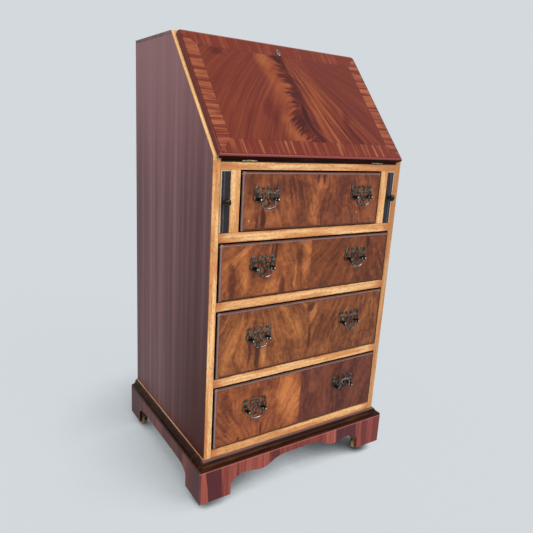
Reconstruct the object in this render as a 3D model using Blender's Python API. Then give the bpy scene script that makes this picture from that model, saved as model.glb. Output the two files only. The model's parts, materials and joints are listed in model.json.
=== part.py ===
"""Fall-front writing bureau with four drawers, lopers, bracket plinth and castors.

Metres, +Z up. The front faces -Y, and the origin is on the floor under the middle of the bureau.
"""
import math

import bmesh
import bpy
from mathutils import Matrix, Vector

# Clearances, the overrun of cutters, and the distance at which points of one mesh are merged
GAP = 0.0003
RUN_GAP = 0.0012
OVERRUN = 0.004
MERGE_DIST = 0.00001

# Carcase
CARCASE_W = 0.500
CARCASE_D = 0.430
CARCASE_H = 0.9162
SIDE_T = 0.016
LIPPING_T = 0.003
TOP_T = 0.016
TOP_LAP_T = 0.0063
BACK_T = 0.010
BED_T = 0.017
RAIL_T = 0.0197
RAIL_D = 0.060
DUSTBOARD_T = 0.010
# Drawer openings from the top one down, as shares of the height that the rails leave
OPENING_SHARES = (0.2259, 0.2259, 0.2767, 0.2715)

# Slant of the desk: it starts above the writing bed and runs back to the top
SLANT_START_H = 0.0098
SLANT_RUN = 0.2095
SLANT_RISE = 0.2409

# Loper housings
LOPER_SLOT_W = 0.0227
PARTITION_W = 0.0216
LOPER_SIDE_GAP = 0.0006
LOPER_TOP_GAP = 0.0005
LOPER_BACK_ROOM = 0.035
LOPER_L = CARCASE_D - BACK_T - LOPER_BACK_ROOM
KNOB_R = 0.0078
KNOB_L = 0.0165
KNOB_TENON_R = 0.003
KNOB_TENON_L = 0.010

# Base
CASTOR_DROP = 0.025
PLINTH_H = 0.0783
PLINTH_OUT = 0.0174
PLINTH_T = 0.009
MOULD_H = 0.0185
MOULD_OUT = 0.0168
FRONT_FOOT_W = 0.0777
SIDE_FOOT_W = 0.0748
REAR_FOOT_W = 0.0682
SIDE_OGEE_W = 0.034
FOOT_STEP_H = 0.029
APRON_H = 0.0615
SIDE_APRON_H = 0.0460
BLOCK_SETBACK = 0.002
BLOCK_BASE_H = 0.0180

# Castors
SWIVEL_INSET_X = 0.020
SWIVEL_INSET_Y = 0.026
CASTOR_TRAIL = 0.016
WHEEL_R = 0.012
WHEEL_W = 0.011
WHEEL_BORE_R = 0.0021
WHEEL_CROWN = 0.0014
AXLE_R = 0.0016
FORK_W = 0.0165
FORK_SLOT_W = 0.0122
FORK_SLOT_R = 0.0132
FORK_EYE_R = 0.0042
CASTOR_PLATE_R = 0.0155
CASTOR_PLATE_T = 0.002
CASTORS = (
    ("front_left", -1, -1, 125.0),
    ("front_right", 1, -1, 212.0),
    ("rear_left", -1, 1, 215.0),
    ("rear_right", 1, 1, 300.0),
)

# Fall
FALL_T = 0.017
FALL_SIDE_INSET = 0.0070
FALL_HEEL_GAP = 0.0005
FALL_STANDS_OVER_TOP = 0.004
FALL_PANEL_GAP = 0.0010
FALL_CORNER_R = 0.010
FALL_MOULD_W = 0.0055
HINGE_SHARE = 0.343
HINGE_X = CARCASE_W * HINGE_SHARE
HINGE_L = 0.035
LEAF_W = 0.0160
LEAF_T = 0.0016
BARREL_R = 0.0026
PIN_R = 0.0012
MIDDLE_KNUCKLE_L = 0.0130

# Lock of the fall
LOCK_W = 0.050
LOCK_H = 0.032
LOCK_T = 0.009
LOCK_BELOW_EDGE = 0.0010
BOLT_W = 0.014
BOLT_T = 0.003
BOLT_H = 0.020
BOLT_IN = 0.0022
BOLT_THROW = 0.006
ESCUTCHEON_W = 0.0100
ESCUTCHEON_H = 0.0205
ESCUTCHEON_T = 0.0010
ESCUTCHEON_BELOW_TOP = 0.0290
KEYHOLE_W = 0.0030
KEYHOLE_H = 0.0090

# Drawers
FRONT_T = 0.019
FRONT_PROUD = 0.003
FRONT_GAP = 0.0012
FRONT_MOULD_W = 0.003
BOX_SIDE_T = 0.008
BOX_BOTTOM_T = 0.006
BOX_SIDE_GAP = 0.0010
BOX_HEADROOM = 0.008
BOX_BACK_ROOM = 0.016
BOX_D = CARCASE_D - BACK_T - FRONT_T - BOX_BACK_ROOM

# Handles
HANDLE_SHARE = 0.258
HANDLE_X = CARCASE_W * HANDLE_SHARE
HANDLE_RISE = 0.0045
POST_SPACING = 0.0430
PLATE_W = 0.0646
PLATE_UP = 0.0265
PLATE_DOWN = 0.0160
PLATE_T = 0.0016
PIVOT_OUT = 0.010
BALL_R = 0.0047
NECK_R = 0.0026
COLLAR_R = 0.0038
COLLAR_T = 0.0014
PIVOT_BORE_R = 0.0017
PIVOT_BORE_L = 0.0040
BAIL_R = 0.0013
BAIL_DROP = 0.0183
BAIL_RAISED_DEG = 184.0
RAISED_BAIL = "drawer_4_right"

# Pigeonhole nest
NEST_D = 0.150
NEST_BOARD_T = 0.006
NEST_BACK_T = 0.004
NEST_LOW_H = 0.095
NEST_CELL_COUNTS = (3, 4)

# Roundness
FINE_SIDES = 20
ROUND_SIDES = 12

# Half outline of a handle's plate, from its bottom tip to its crown: shares of the half width, and of
# the reach above the posts (positive) or below them (negative)
PLATE_SHARES = (
    (0.00, -1.00), (0.20, -0.72), (0.42, -0.42), (0.66, -0.52), (0.86, -0.34), (1.00, 0.10),
    (0.97, 0.27), (0.90, 0.46), (0.95, 0.70), (0.87, 0.93), (0.72, 1.00), (0.57, 0.88),
    (0.63, 0.66), (0.50, 0.44), (0.38, 0.56), (0.31, 0.84), (0.16, 0.93), (0.00, 0.98),
)
# Half outlines of its middle openings, top to bottom, and a side opening with its own shares
TEARDROP_SHARES = ((0.00, 0.81), (0.12, 0.72), (0.13, 0.58), (0.05, 0.43), (0.00, 0.38))
HEART_SHARES = ((0.00, -0.10), (0.14, 0.06), (0.21, -0.20), (0.12, -0.52), (0.00, -0.72))
LOOP_SHARES = ((0.83, 0.00), (0.91, 0.10), (0.90, 0.24), (0.82, 0.22))

# Half of a bail's centre line: shares of half the post spacing, and of its drop
BAIL_SHARES = ((0.955, 0.00), (0.79, 0.00), (0.72, -0.05), (0.71, 0.06), (0.745, 0.38),
               (0.66, 0.72), (0.40, 0.94), (0.00, 1.00))

# Turned profiles, as shares of length and radius
KNOB_SHARES = ((0.00, 0.46), (0.10, 0.46), (0.24, 0.40), (0.42, 0.62), (0.62, 1.00), (0.80, 0.94),
               (0.94, 0.55), (1.00, 0.00))
BALL_SHARES = ((-0.80, 0.60), (-0.35, 0.94), (0.10, 0.99), (0.60, 0.80), (0.90, 0.44), (1.00, 0.00))

# Base moulding, as shares of its projection and height, from the top at the carcase to the lower fillet
MOULD_SHARES = ((0.00, 1.00), (0.20, 0.97), (0.36, 0.86), (0.42, 0.72), (0.52, 0.60), (0.66, 0.46),
                (0.84, 0.34), (0.95, 0.30), (1.00, 0.22), (1.00, 0.00))

# Half of the front arch, from the foot to the middle: shares of the half opening, and of the climb from the
# foot's step to the apron. The side arch has one ogee at either foot: shares of its width and climb
FRONT_ARCH_SHARES = ((1.00, 0.00), (0.96, 0.23), (0.89, 0.48), (0.82, 0.55), (0.71, 0.46),
                     (0.62, 0.36), (0.56, 0.32), (0.51, 0.38), (0.44, 0.59), (0.36, 0.82),
                     (0.29, 0.92), (0.20, 0.97), (0.00, 1.00))
SIDE_OGEE_SHARES = ((0.00, 0.00), (0.08, 0.26), (0.22, 0.50), (0.40, 0.70), (0.60, 0.86), (1.00, 1.00))

# Horn of a castor's fork, as shares: along the trail, and of the height between axle and plate
HORN_SHARES = ((-0.50, 1.00), (0.55, 1.00), (0.95, 0.80), (1.42, 0.42), (1.30, 0.00), (0.70, 0.00),
               (0.60, 0.42), (-0.10, 0.66), (-0.50, 0.76))

HALF_W = CARCASE_W / 2
INNER_HALF_W = HALF_W - SIDE_T
HANDLE_REACH = FRONT_PROUD + GAP + PLATE_T + PIVOT_OUT + BALL_R
FRONT_Y = (HANDLE_REACH - CARCASE_D) / 2
BACK_Y = FRONT_Y + CARCASE_D
INSIDE_BACK_Y = BACK_Y - BACK_T - GAP

FOOT_Z = CASTOR_DROP
PLINTH_TOP_Z = FOOT_Z + PLINTH_H
CARCASE_Z = PLINTH_TOP_Z + GAP
MOULD_TOP_Z = CARCASE_Z + MOULD_H
TOP_Z = CARCASE_Z + CARCASE_H
TOP_UNDER_Z = TOP_Z - TOP_T
SLANT_Z = TOP_Z - SLANT_RISE
BED_Z = SLANT_Z - SLANT_START_H
BED_BOTTOM_Z = BED_Z - BED_T
DRAWERS_H = BED_BOTTOM_Z - MOULD_TOP_Z - RAIL_T * len(OPENING_SHARES)
OPENING_HEIGHTS = [DRAWERS_H * share for share in OPENING_SHARES]
SLANT = math.atan2(SLANT_RISE, SLANT_RUN)
FALL_PANEL_T = SLANT_START_H * math.cos(SLANT)

WOODS = {
    "mahogany": ((0.160, 0.058, 0.050), 0.35),
    "pale_wood": ((0.640, 0.370, 0.170), 0.50),
    "walnut": ((0.300, 0.110, 0.045), 0.35),
    "flame_mahogany": ((0.230, 0.045, 0.022), 0.30),
    "dark_moulding": ((0.040, 0.010, 0.006), 0.30),
    "plinth_veneer": ((0.240, 0.070, 0.055), 0.40),
    "ebonised": ((0.020, 0.020, 0.024), 0.40),
    "inside_wood": ((0.420, 0.230, 0.100), 0.60),
}
METALS = {
    "dark_bronze": ((0.060, 0.058, 0.042), 0.40),
    "brass": ((0.650, 0.450, 0.180), 0.35),
    "pale_brass": ((0.800, 0.700, 0.500), 0.30),
}


def clear_scene():
    for obj in list(bpy.data.objects):
        bpy.data.objects.remove(obj, do_unlink=True)


def make_collection(name):
    group = bpy.data.collections.new(name)
    bpy.context.scene.collection.children.link(group)
    return group


def make_material(name, color, roughness, metallic):
    mat = bpy.data.materials.new(name)
    mat.use_nodes = True
    shader = mat.node_tree.nodes["Principled BSDF"]
    shader.inputs["Base Color"].default_value = (*color, 1.0)
    shader.inputs["Roughness"].default_value = roughness
    shader.inputs["Metallic"].default_value = metallic
    return mat


def finish_of(kind, name):
    """Each piece has a material of its own, made from its wood or metal."""
    if kind in METALS:
        return make_material(name + "_" + kind, *METALS[kind], 1.0)
    return make_material(name + "_" + kind, *WOODS[kind], 0.0)


clear_scene()
PARTS = make_collection("writing_bureau")
CUTTERS = make_collection("bureau_cutters")


def make_empty(name, location, rotation=(0, 0, 0), parent=None):
    empty = bpy.data.objects.new(name, None)
    PARTS.objects.link(empty)
    empty.location = location
    empty.rotation_euler = rotation
    empty.parent = parent
    return empty


def make_object(name, mesh, kind, parent=None, location=(0, 0, 0)):
    """A piece with a finish, or a cutter when kind is None."""
    obj = bpy.data.objects.new(name, mesh)
    obj.location = location
    obj.parent = parent
    if kind is None:
        CUTTERS.objects.link(obj)
        obj.hide_render = True
        obj.display_type = "WIRE"
        return obj
    PARTS.objects.link(obj)
    obj.data.materials.clear()
    obj.data.materials.append(finish_of(kind, name))
    return obj


def mesh_from(bm, name, smooth=False):
    bmesh.ops.recalc_face_normals(bm, faces=bm.faces)
    mesh = bpy.data.meshes.new(name)
    bm.to_mesh(mesh)
    bm.free()
    if smooth:
        mesh.shade_smooth()
        mesh.set_sharp_from_angle(angle=math.radians(35))
    return mesh


def add_box(bm, low, high):
    size = [b - a for a, b in zip(low, high)]
    middle = [(a + b) / 2 for a, b in zip(low, high)]
    made = bmesh.ops.create_cube(bm, size=1)
    bmesh.ops.scale(bm, vec=size, verts=made["verts"])
    bmesh.ops.translate(bm, vec=middle, verts=made["verts"])
    return made["verts"]


def box(name, low, high, kind, parent=None):
    bm = bmesh.new()
    add_box(bm, low, high)
    return make_object(name, mesh_from(bm, name), kind, parent)


def add_rod(bm, start, end, radius, sides=ROUND_SIDES):
    """A round rod between two points."""
    line = Vector(end) - Vector(start)
    turn = line.to_track_quat("Z", "Y").to_matrix().to_4x4()
    place = Matrix.Translation((Vector(start) + Vector(end)) / 2) @ turn
    bmesh.ops.create_cone(bm, cap_ends=True, segments=sides, radius1=radius, radius2=radius,
                          depth=line.length, matrix=place)


PLANES = {
    "X": Matrix(((0, 0, 1, 0), (1, 0, 0, 0), (0, 1, 0, 0), (0, 0, 0, 1))),
    "Y": Matrix(((1, 0, 0, 0), (0, 0, -1, 0), (0, 1, 0, 0), (0, 0, 0, 1))),
    "Z": Matrix.Identity(4),
}


def prism_mesh(name, outlines, axis, start, end):
    """A flat outline, with any holes, carried along an axis from start to end."""
    curve = bpy.data.curves.new(name, "CURVE")
    curve.dimensions = "2D"
    curve.fill_mode = "BOTH"
    curve.extrude = abs(end - start) / 2
    for outline in outlines:
        spline = curve.splines.new("POLY")
        spline.points.add(len(outline) - 1)
        for point, (a, b) in zip(spline.points, outline):
            point.co = (a, b, 0, 1)
        spline.use_cyclic_u = True
    guide = bpy.data.objects.new(name + "_outline", curve)
    PARTS.objects.link(guide)
    mesh = bpy.data.meshes.new_from_object(guide.evaluated_get(bpy.context.evaluated_depsgraph_get()))
    bpy.data.objects.remove(guide, do_unlink=True)
    bm = bmesh.new()
    bm.from_mesh(mesh)
    bpy.data.meshes.remove(mesh)
    bmesh.ops.remove_doubles(bm, verts=bm.verts, dist=MERGE_DIST)
    middle = (start + end) / 2
    lift = Matrix.Translation(PLANES[axis].to_3x3() @ Vector((0, 0, middle if axis != "Y" else -middle)))
    bmesh.ops.transform(bm, matrix=lift @ PLANES[axis], verts=bm.verts)
    return mesh_from(bm, name)


def prism(name, outlines, axis, start, end, kind, parent=None):
    return make_object(name, prism_mesh(name, outlines, axis, start, end), kind, parent)


def turned_mesh(name, profile, axis_turn, sides):
    """A profile of (along, radius) turned about an axis."""
    bm = bmesh.new()
    points = [bm.verts.new((radius, 0, along)) for along, radius in profile]
    edges = [bm.edges.new(pair) for pair in zip(points, points[1:])]
    bmesh.ops.spin(bm, geom=points + edges, axis=(0, 0, 1), cent=(0, 0, 0), angle=2 * math.pi, steps=sides,
                   use_merge=True)
    bmesh.ops.remove_doubles(bm, verts=bm.verts, dist=MERGE_DIST)
    ends = [edge for edge in bm.edges if edge.is_boundary]
    if ends:
        bmesh.ops.holes_fill(bm, edges=ends)
    bmesh.ops.transform(bm, matrix=axis_turn, verts=bm.verts)
    return mesh_from(bm, name, smooth=True)


def change(obj, operation, tool):
    mod = obj.modifiers.new(operation.lower(), "BOOLEAN")
    mod.operation = operation
    mod.solver = "EXACT"
    mod.object = tool


def cut(obj, *tools):
    for tool in tools:
        change(obj, "DIFFERENCE", tool)


def join(obj, *tools):
    for tool in tools:
        change(obj, "UNION", tool)


def mirrored(outline):
    """A half outline that starts and ends on the middle line, made whole."""
    return outline + [(-a, b) for a, b in reversed(outline[1:-1])]


def front_edge(depth, low, high):
    """The carcase's front line in Y and Z: upright, then slanted, at a depth inside its face."""
    knee_z = SLANT_Z - depth * math.tan((math.pi / 2 - SLANT) / 2)
    top_y = FRONT_Y + depth + (high - knee_z) / math.tan(SLANT)
    return [(FRONT_Y + depth, low), (FRONT_Y + depth, knee_z), (top_y, high)]


def opening_levels():
    """Bottom and top of each drawer opening, from the top drawer down."""
    levels = []
    top = BED_BOTTOM_Z
    for height in OPENING_HEIGHTS:
        levels.append((top - height, top))
        top = top - height - RAIL_T
    return levels


def make_sides():
    side_top = TOP_Z - TOP_LAP_T - GAP
    outline = front_edge(LIPPING_T + GAP, CARCASE_Z, side_top) + [(BACK_Y, side_top), (BACK_Y, CARCASE_Z)]
    edge = front_edge(0, CARCASE_Z, TOP_Z) + front_edge(LIPPING_T, CARCASE_Z, TOP_Z)[::-1]
    for name, start, end in (("left", -HALF_W, -INNER_HALF_W), ("right", INNER_HALF_W, HALF_W)):
        prism(name + "_side", [outline], "X", start, end, "mahogany")
        prism(name + "_lipping", [edge], "X", start, end, "pale_wood")


def slant_point(depth, height):
    return front_edge(depth, CARCASE_Z, height)[-1]


def make_top_board():
    """The top board laps over the sides, and stands between the lippings at its front corners."""
    face = [slant_point(0, TOP_UNDER_Z), slant_point(0, TOP_Z), (BACK_Y, TOP_Z), (BACK_Y, TOP_UNDER_Z)]
    top = prism("top_board", [face], "X", -HALF_W, HALF_W, "mahogany")
    low, high, lap = TOP_UNDER_Z - OVERRUN, TOP_Z + OVERRUN, TOP_Z - TOP_LAP_T
    inner = LIPPING_T + GAP
    room = [slant_point(-OVERRUN, low), slant_point(-OVERRUN, high), slant_point(inner, high),
            slant_point(inner, lap), (BACK_Y + OVERRUN, lap), (BACK_Y + OVERRUN, low)]
    web = INNER_HALF_W - GAP
    for name, start, end in (("left", -HALF_W - OVERRUN, -web), ("right", web, HALF_W + OVERRUN)):
        cut(top, prism(name + "_end_room", [room], "X", start, end, None))
    # Mortise for the lock's bolt, along the fall's plane
    bolt_low = FALL_PANEL_TOP - BOLT_THROW
    bolt_high = FALL_PANEL_TOP + 2 * BOLT_THROW
    half = BOLT_W / 2 + RUN_GAP
    cut(top, box("bolt_mortise", (-half, bolt_low, BOLT_IN - RUN_GAP),
                 (half, bolt_high, BOLT_IN + BOLT_T + RUN_GAP), None, FALL_AXIS))


def make_boards():
    reach = INNER_HALF_W - GAP
    box("back_panel", (-reach, BACK_Y - BACK_T, CARCASE_Z), (reach, BACK_Y, TOP_UNDER_Z - GAP), "inside_wood")
    bed = box("writing_bed", (-reach, FRONT_Y, BED_BOTTOM_Z), (reach, INSIDE_BACK_Y, BED_Z), "pale_wood")
    cut(bed, HINGE_BEDS, HINGE_BARRELS)
    names = ("dustboard_1", "dustboard_2", "dustboard_3", "bottom_board")
    for name, (low, _) in zip(names, opening_levels()):
        rail_foot = CARCASE_Z if name == "bottom_board" else low - RAIL_T
        section = [(FRONT_Y, rail_foot), (FRONT_Y + RAIL_D, rail_foot), (FRONT_Y + RAIL_D, low - DUSTBOARD_T),
                   (INSIDE_BACK_Y, low - DUSTBOARD_T), (INSIDE_BACK_Y, low), (FRONT_Y, low)]
        prism(name, [section], "X", -reach, reach, "pale_wood")
    low, high = opening_levels()[0]
    inner = INNER_HALF_W - LOPER_SLOT_W - PARTITION_W
    outer = INNER_HALF_W - LOPER_SLOT_W
    for name, start, end in (("left", -outer, -inner), ("right", inner, outer)):
        box(name + "_partition", (start, FRONT_Y, low + GAP), (end, INSIDE_BACK_Y, high - GAP), "pale_wood")


def swept_round(name, profile, kind):
    """A profile of (out, height) carried round the left side, the front and the right side, mitred."""
    wall = HALF_W + GAP
    front = FRONT_Y - GAP
    bm = bmesh.new()
    start = bm.faces.new([bm.verts.new((-wall - out, BACK_Y, height)) for out, height in profile])
    steps = (
        lambda v: (v.co.x, front - (-v.co.x - wall), v.co.z),
        lambda v: (-v.co.x, v.co.y, v.co.z),
        lambda v: (v.co.x, BACK_Y, v.co.z),
    )
    face = start
    for step in steps:
        grown = bmesh.ops.extrude_face_region(bm, geom=[face])
        if face != start:
            bmesh.ops.delete(bm, geom=[face], context="FACES_ONLY")
        face = next(part for part in grown["geom"] if isinstance(part, bmesh.types.BMFace))
        for vert in face.verts:
            vert.co = step(vert)
    return make_object(name, mesh_from(bm, name), kind)


def front_arch():
    """Opening between the front feet: a step, an ogee lobe and a cusp on either side, and a level apron."""
    half = HALF_W + PLINTH_OUT - FRONT_FOOT_W
    climb = APRON_H - FOOT_STEP_H
    curve = [(half * a, FOOT_STEP_H + climb * b) for a, b in FRONT_ARCH_SHARES]
    return mirrored([(0, -OVERRUN), (half, -OVERRUN)] + curve)


def side_arch():
    """Opening between a front foot and a rear foot, with an ogee at either end of a level apron."""
    near = FRONT_Y - PLINTH_OUT + SIDE_FOOT_W
    far = BACK_Y - REAR_FOOT_W
    rise = SIDE_APRON_H - FOOT_STEP_H
    climb = [(near + SIDE_OGEE_W * a, FOOT_STEP_H + rise * b) for a, b in SIDE_OGEE_SHARES]
    fall = [(far - SIDE_OGEE_W * a, FOOT_STEP_H + rise * b) for a, b in reversed(SIDE_OGEE_SHARES)]
    return [(near, -OVERRUN)] + climb + fall + [(far, -OVERRUN)]


def raised(outline):
    return [(a, FOOT_Z + b) for a, b in outline]


def make_base():
    mould = [(0, CARCASE_Z)] + [(MOULD_OUT * a, CARCASE_Z + MOULD_H * b) for a, b in MOULD_SHARES]
    swept_round("base_moulding", mould, "dark_moulding")
    inside = PLINTH_OUT - PLINTH_T
    board = [(inside, FOOT_Z), (PLINTH_OUT, FOOT_Z), (PLINTH_OUT, PLINTH_TOP_Z), (inside, PLINTH_TOP_Z)]
    plinth = swept_round("plinth", board, "plinth_veneer")
    front_face = FRONT_Y - PLINTH_OUT - GAP
    cut(plinth, prism("front_arch", [raised(front_arch())], "Y", front_face - OVERRUN,
                      front_face + PLINTH_T + OVERRUN, None))
    side_face = HALF_W + PLINTH_OUT + GAP
    cut(plinth, prism("side_arches", [raised(side_arch())], "X", -side_face - OVERRUN,
                      side_face + OVERRUN, None))
    bm = bmesh.new()
    inner_x = side_face - PLINTH_T
    inner_y = front_face + PLINTH_T
    low, high = FOOT_Z + BLOCK_BASE_H, PLINTH_TOP_Z - GAP
    foot_x = side_face - FRONT_FOOT_W + BLOCK_SETBACK
    front_foot_y = front_face + SIDE_FOOT_W - BLOCK_SETBACK
    rear_foot_y = BACK_Y - REAR_FOOT_W + BLOCK_SETBACK
    for side in (-1, 1):
        xs = sorted((side * foot_x, side * (inner_x + OVERRUN)))
        add_box(bm, (xs[0], inner_y - OVERRUN, low), (xs[1], front_foot_y, high))
        add_box(bm, (xs[0], rear_foot_y, low), (xs[1], BACK_Y - GAP, high))
    join(plinth, make_object("corner_blocks", mesh_from(bm, "corner_blocks"), None))


def make_castors():
    plate_z = FOOT_Z + BLOCK_BASE_H - GAP
    under_plate = plate_z - CASTOR_PLATE_T
    along_y = Matrix.Rotation(math.radians(90), 4, "X")
    rim = WHEEL_R - WHEEL_CROWN
    half = WHEEL_W / 2
    tread = ((-half, WHEEL_BORE_R), (-half, rim), (-half + WHEEL_CROWN, WHEEL_R), (half - WHEEL_CROWN, WHEEL_R),
             (half, rim), (half, WHEEL_BORE_R), (-half, WHEEL_BORE_R))
    wheel_mesh = turned_mesh("castor_wheel", tread, along_y, FINE_SIDES)
    horn_outline = [(CASTOR_TRAIL * a, WHEEL_R + (under_plate + GAP - WHEEL_R) * b) for a, b in HORN_SHARES]
    for name, side_x, side_y, heading in CASTORS:
        at_y = FRONT_Y + SWIVEL_INSET_Y if side_y < 0 else BACK_Y - SWIVEL_INSET_Y
        swivel = make_empty(name + "_swivel", (side_x * (HALF_W - SWIVEL_INSET_X), at_y, 0),
                            (0, 0, math.radians(heading)))
        fork = prism(name + "_fork", [horn_outline], "Y", -FORK_W / 2, FORK_W / 2, "brass", swivel)
        bm = bmesh.new()
        add_rod(bm, (0, 0, under_plate), (0, 0, plate_z), CASTOR_PLATE_R, FINE_SIDES)
        join(fork, make_object(name + "_plate", mesh_from(bm, name + "_plate"), None, swivel))
        bm = bmesh.new()
        reach = FORK_W / 2 - GAP
        eye_y = FORK_SLOT_W / 2
        add_rod(bm, (CASTOR_TRAIL, -reach, WHEEL_R), (CASTOR_TRAIL, -eye_y, WHEEL_R), FORK_EYE_R)
        add_rod(bm, (CASTOR_TRAIL, eye_y, WHEEL_R), (CASTOR_TRAIL, reach, WHEEL_R), FORK_EYE_R)
        join(fork, make_object(name + "_eyes", mesh_from(bm, name + "_eyes"), None, swivel))
        bm = bmesh.new()
        add_rod(bm, (CASTOR_TRAIL, -eye_y, WHEEL_R), (CASTOR_TRAIL, eye_y, WHEEL_R), FORK_SLOT_R, FINE_SIDES)
        cut(fork, make_object(name + "_wheel_room", mesh_from(bm, name + "_wheel_room"), None, swivel),
            box(name + "_fork_mouth", (CASTOR_TRAIL - FORK_SLOT_R, -eye_y, -OVERRUN),
                (CASTOR_TRAIL + FORK_SLOT_R + OVERRUN, eye_y, WHEEL_R), None, swivel))
        bm = bmesh.new()
        add_rod(bm, (CASTOR_TRAIL, -reach + GAP, WHEEL_R), (CASTOR_TRAIL, reach - GAP, WHEEL_R), AXLE_R)
        join(fork, make_object(name + "_axle", mesh_from(bm, name + "_axle"), None, swivel))
        axle = make_empty(name + "_axle_line", (CASTOR_TRAIL, 0, WHEEL_R), parent=swivel)
        make_object(name + "_wheel", wheel_mesh.copy(), "pale_brass", axle)


def make_fall():
    """The fall lies in its own frame: X across, Y up the slant from the hinges, Z out of its inner face."""
    half = HALF_W - FALL_SIDE_INSET
    lip_low = FALL_PANEL_T + GAP
    bm = bmesh.new()
    verts = add_box(bm, (-half, FALL_HEEL_GAP, lip_low), (half, FALL_TOP, FALL_T))
    corners = [edge for edge in bm.edges if all(v.co.y > FALL_TOP / 2 for v in edge.verts)
               and abs(edge.verts[0].co.z - edge.verts[1].co.z) > GAP]
    bmesh.ops.bevel(bm, geom=corners, offset=FALL_CORNER_R, offset_type="OFFSET", segments=5, profile=0.5,
                    affect="EDGES", material=-1)
    rim = [edge for edge in bm.edges if all(abs(v.co.z - FALL_T) < GAP for v in edge.verts)]
    bmesh.ops.bevel(bm, geom=rim, offset=FALL_MOULD_W, offset_type="OFFSET", segments=4, profile=0.5,
                    affect="EDGES", material=-1)
    fall = make_object("fall_board", mesh_from(bm, "fall_board"), "flame_mahogany", FALL_AXIS)
    reach = INNER_HALF_W - FALL_PANEL_GAP
    join(fall, box("fall_panel", (-reach, FALL_HEEL_GAP, 0),
                   (reach, FALL_PANEL_TOP, FALL_PANEL_T + FALL_MOULD_W / 2), None, FALL_AXIS))
    cut(fall, HINGE_FALLS, HINGE_BARRELS)
    lock_top = FALL_PANEL_TOP - LOCK_BELOW_EDGE
    lock_half = LOCK_W / 2
    cut(fall, box("lock_mortise", (-lock_half - GAP, lock_top - LOCK_H - GAP, -OVERRUN),
                  (lock_half + GAP, lock_top + GAP, LOCK_T + GAP), None, FALL_AXIS))
    bolt_half = BOLT_W / 2 + GAP
    cut(fall, box("bolt_way", (-bolt_half, lock_top - GAP, BOLT_IN - GAP),
                  (bolt_half, FALL_PANEL_TOP + OVERRUN, BOLT_IN + BOLT_T + GAP), None, FALL_AXIS))
    key_y = FALL_TOP - ESCUTCHEON_BELOW_TOP
    cut(fall, box("fall_keyhole", (-KEYHOLE_W / 2, key_y - KEYHOLE_H / 2, LOCK_T - OVERRUN),
                  (KEYHOLE_W / 2, key_y + KEYHOLE_H / 2, FALL_T + OVERRUN), None, FALL_AXIS))
    case = box("fall_lock", (-lock_half, lock_top - LOCK_H, GAP), (lock_half, lock_top, LOCK_T), "brass",
               FALL_AXIS)
    bolt_low = lock_top - BOLT_H
    cut(case, box("bolt_channel", (-bolt_half, bolt_low - GAP, BOLT_IN - GAP),
                  (bolt_half, lock_top + OVERRUN, BOLT_IN + BOLT_T + GAP), None, FALL_AXIS))
    box("lock_bolt", (-BOLT_W / 2, bolt_low, BOLT_IN), (BOLT_W / 2, lock_top, BOLT_IN + BOLT_T),
        "pale_brass", FALL_AXIS)
    oval = [(ESCUTCHEON_W / 2 * math.cos(a), key_y + ESCUTCHEON_H / 2 * math.sin(a))
            for a in full_turn(FINE_SIDES)]
    slot = [(-KEYHOLE_W / 2, key_y - KEYHOLE_H / 2), (KEYHOLE_W / 2, key_y - KEYHOLE_H / 2),
            (KEYHOLE_W / 2, key_y + KEYHOLE_H / 2), (-KEYHOLE_W / 2, key_y + KEYHOLE_H / 2)]
    prism("keyhole_escutcheon", [oval, slot], "Z", FALL_T + GAP, FALL_T + GAP + ESCUTCHEON_T, "pale_brass",
          FALL_AXIS)


def full_turn(steps):
    return [2 * math.pi * i / steps for i in range(steps)]


def hinge_tool(name, low, high, parent=None):
    """One cutter or guide with a box at each hinge."""
    bm = bmesh.new()
    for x in (-HINGE_X, HINGE_X):
        add_box(bm, (x + low[0], low[1], low[2]), (x + high[0], high[1], high[2]))
    return make_object(name, mesh_from(bm, name), None, parent)


def hinge_barrels():
    bm = bmesh.new()
    half = HINGE_L / 2 + GAP
    for x in (-HINGE_X, HINGE_X):
        add_rod(bm, (x - half, FRONT_Y, BED_Z), (x + half, FRONT_Y, BED_Z), BARREL_R + GAP, ROUND_SIDES)
    return make_object("hinge_barrel_room", mesh_from(bm, "hinge_barrel_room"), None)


def make_hinges():
    half = HINGE_L / 2
    middle = MIDDLE_KNUCKLE_L / 2
    start = BARREL_R + 2 * GAP
    for name, x in (("left", -HINGE_X), ("right", HINGE_X)):
        spot = make_empty(name + "_hinge", (x, FRONT_Y, BED_Z))
        bed = box(name + "_bed_leaf", (-half, start, -LEAF_T), (half, LEAF_W, 0), "brass", spot)
        bm = bmesh.new()
        for a, b in ((-half, -middle - GAP), (middle + GAP, half)):
            add_box(bm, (a + GAP, 0, -LEAF_T + GAP), (b - GAP, start + GAP, -GAP))
            add_rod(bm, (a, 0, 0), (b, 0, 0), BARREL_R)
        knuckles = make_object(name + "_bed_knuckles", union_of(bm, name + "_bed_knuckles"), None, spot)
        bm = bmesh.new()
        add_rod(bm, (-half + GAP, 0, 0), (half - GAP, 0, 0), PIN_R)
        join(bed, knuckles, make_object(name + "_hinge_pin", mesh_from(bm, name + "_hinge_pin"), None, spot))
        turned = make_empty(name + "_fall_hinge", (x, 0, 0), parent=FALL_AXIS)
        leaf = box(name + "_fall_leaf", (-half, start, 0), (half, LEAF_W, LEAF_T), "brass", turned)
        bm = bmesh.new()
        add_box(bm, (-middle + GAP, 0, GAP), (middle - GAP, start + GAP, LEAF_T - GAP))
        add_rod(bm, (-middle, 0, 0), (middle, 0, 0), BARREL_R)
        join(leaf, make_object(name + "_fall_knuckle", union_of(bm, name + "_fall_knuckle"), None, turned))
        bm = bmesh.new()
        add_rod(bm, (-middle - GAP, 0, 0), (middle + GAP, 0, 0), PIN_R + GAP)
        cut(leaf, make_object(name + "_pin_room", mesh_from(bm, name + "_pin_room"), None, turned))


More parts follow.
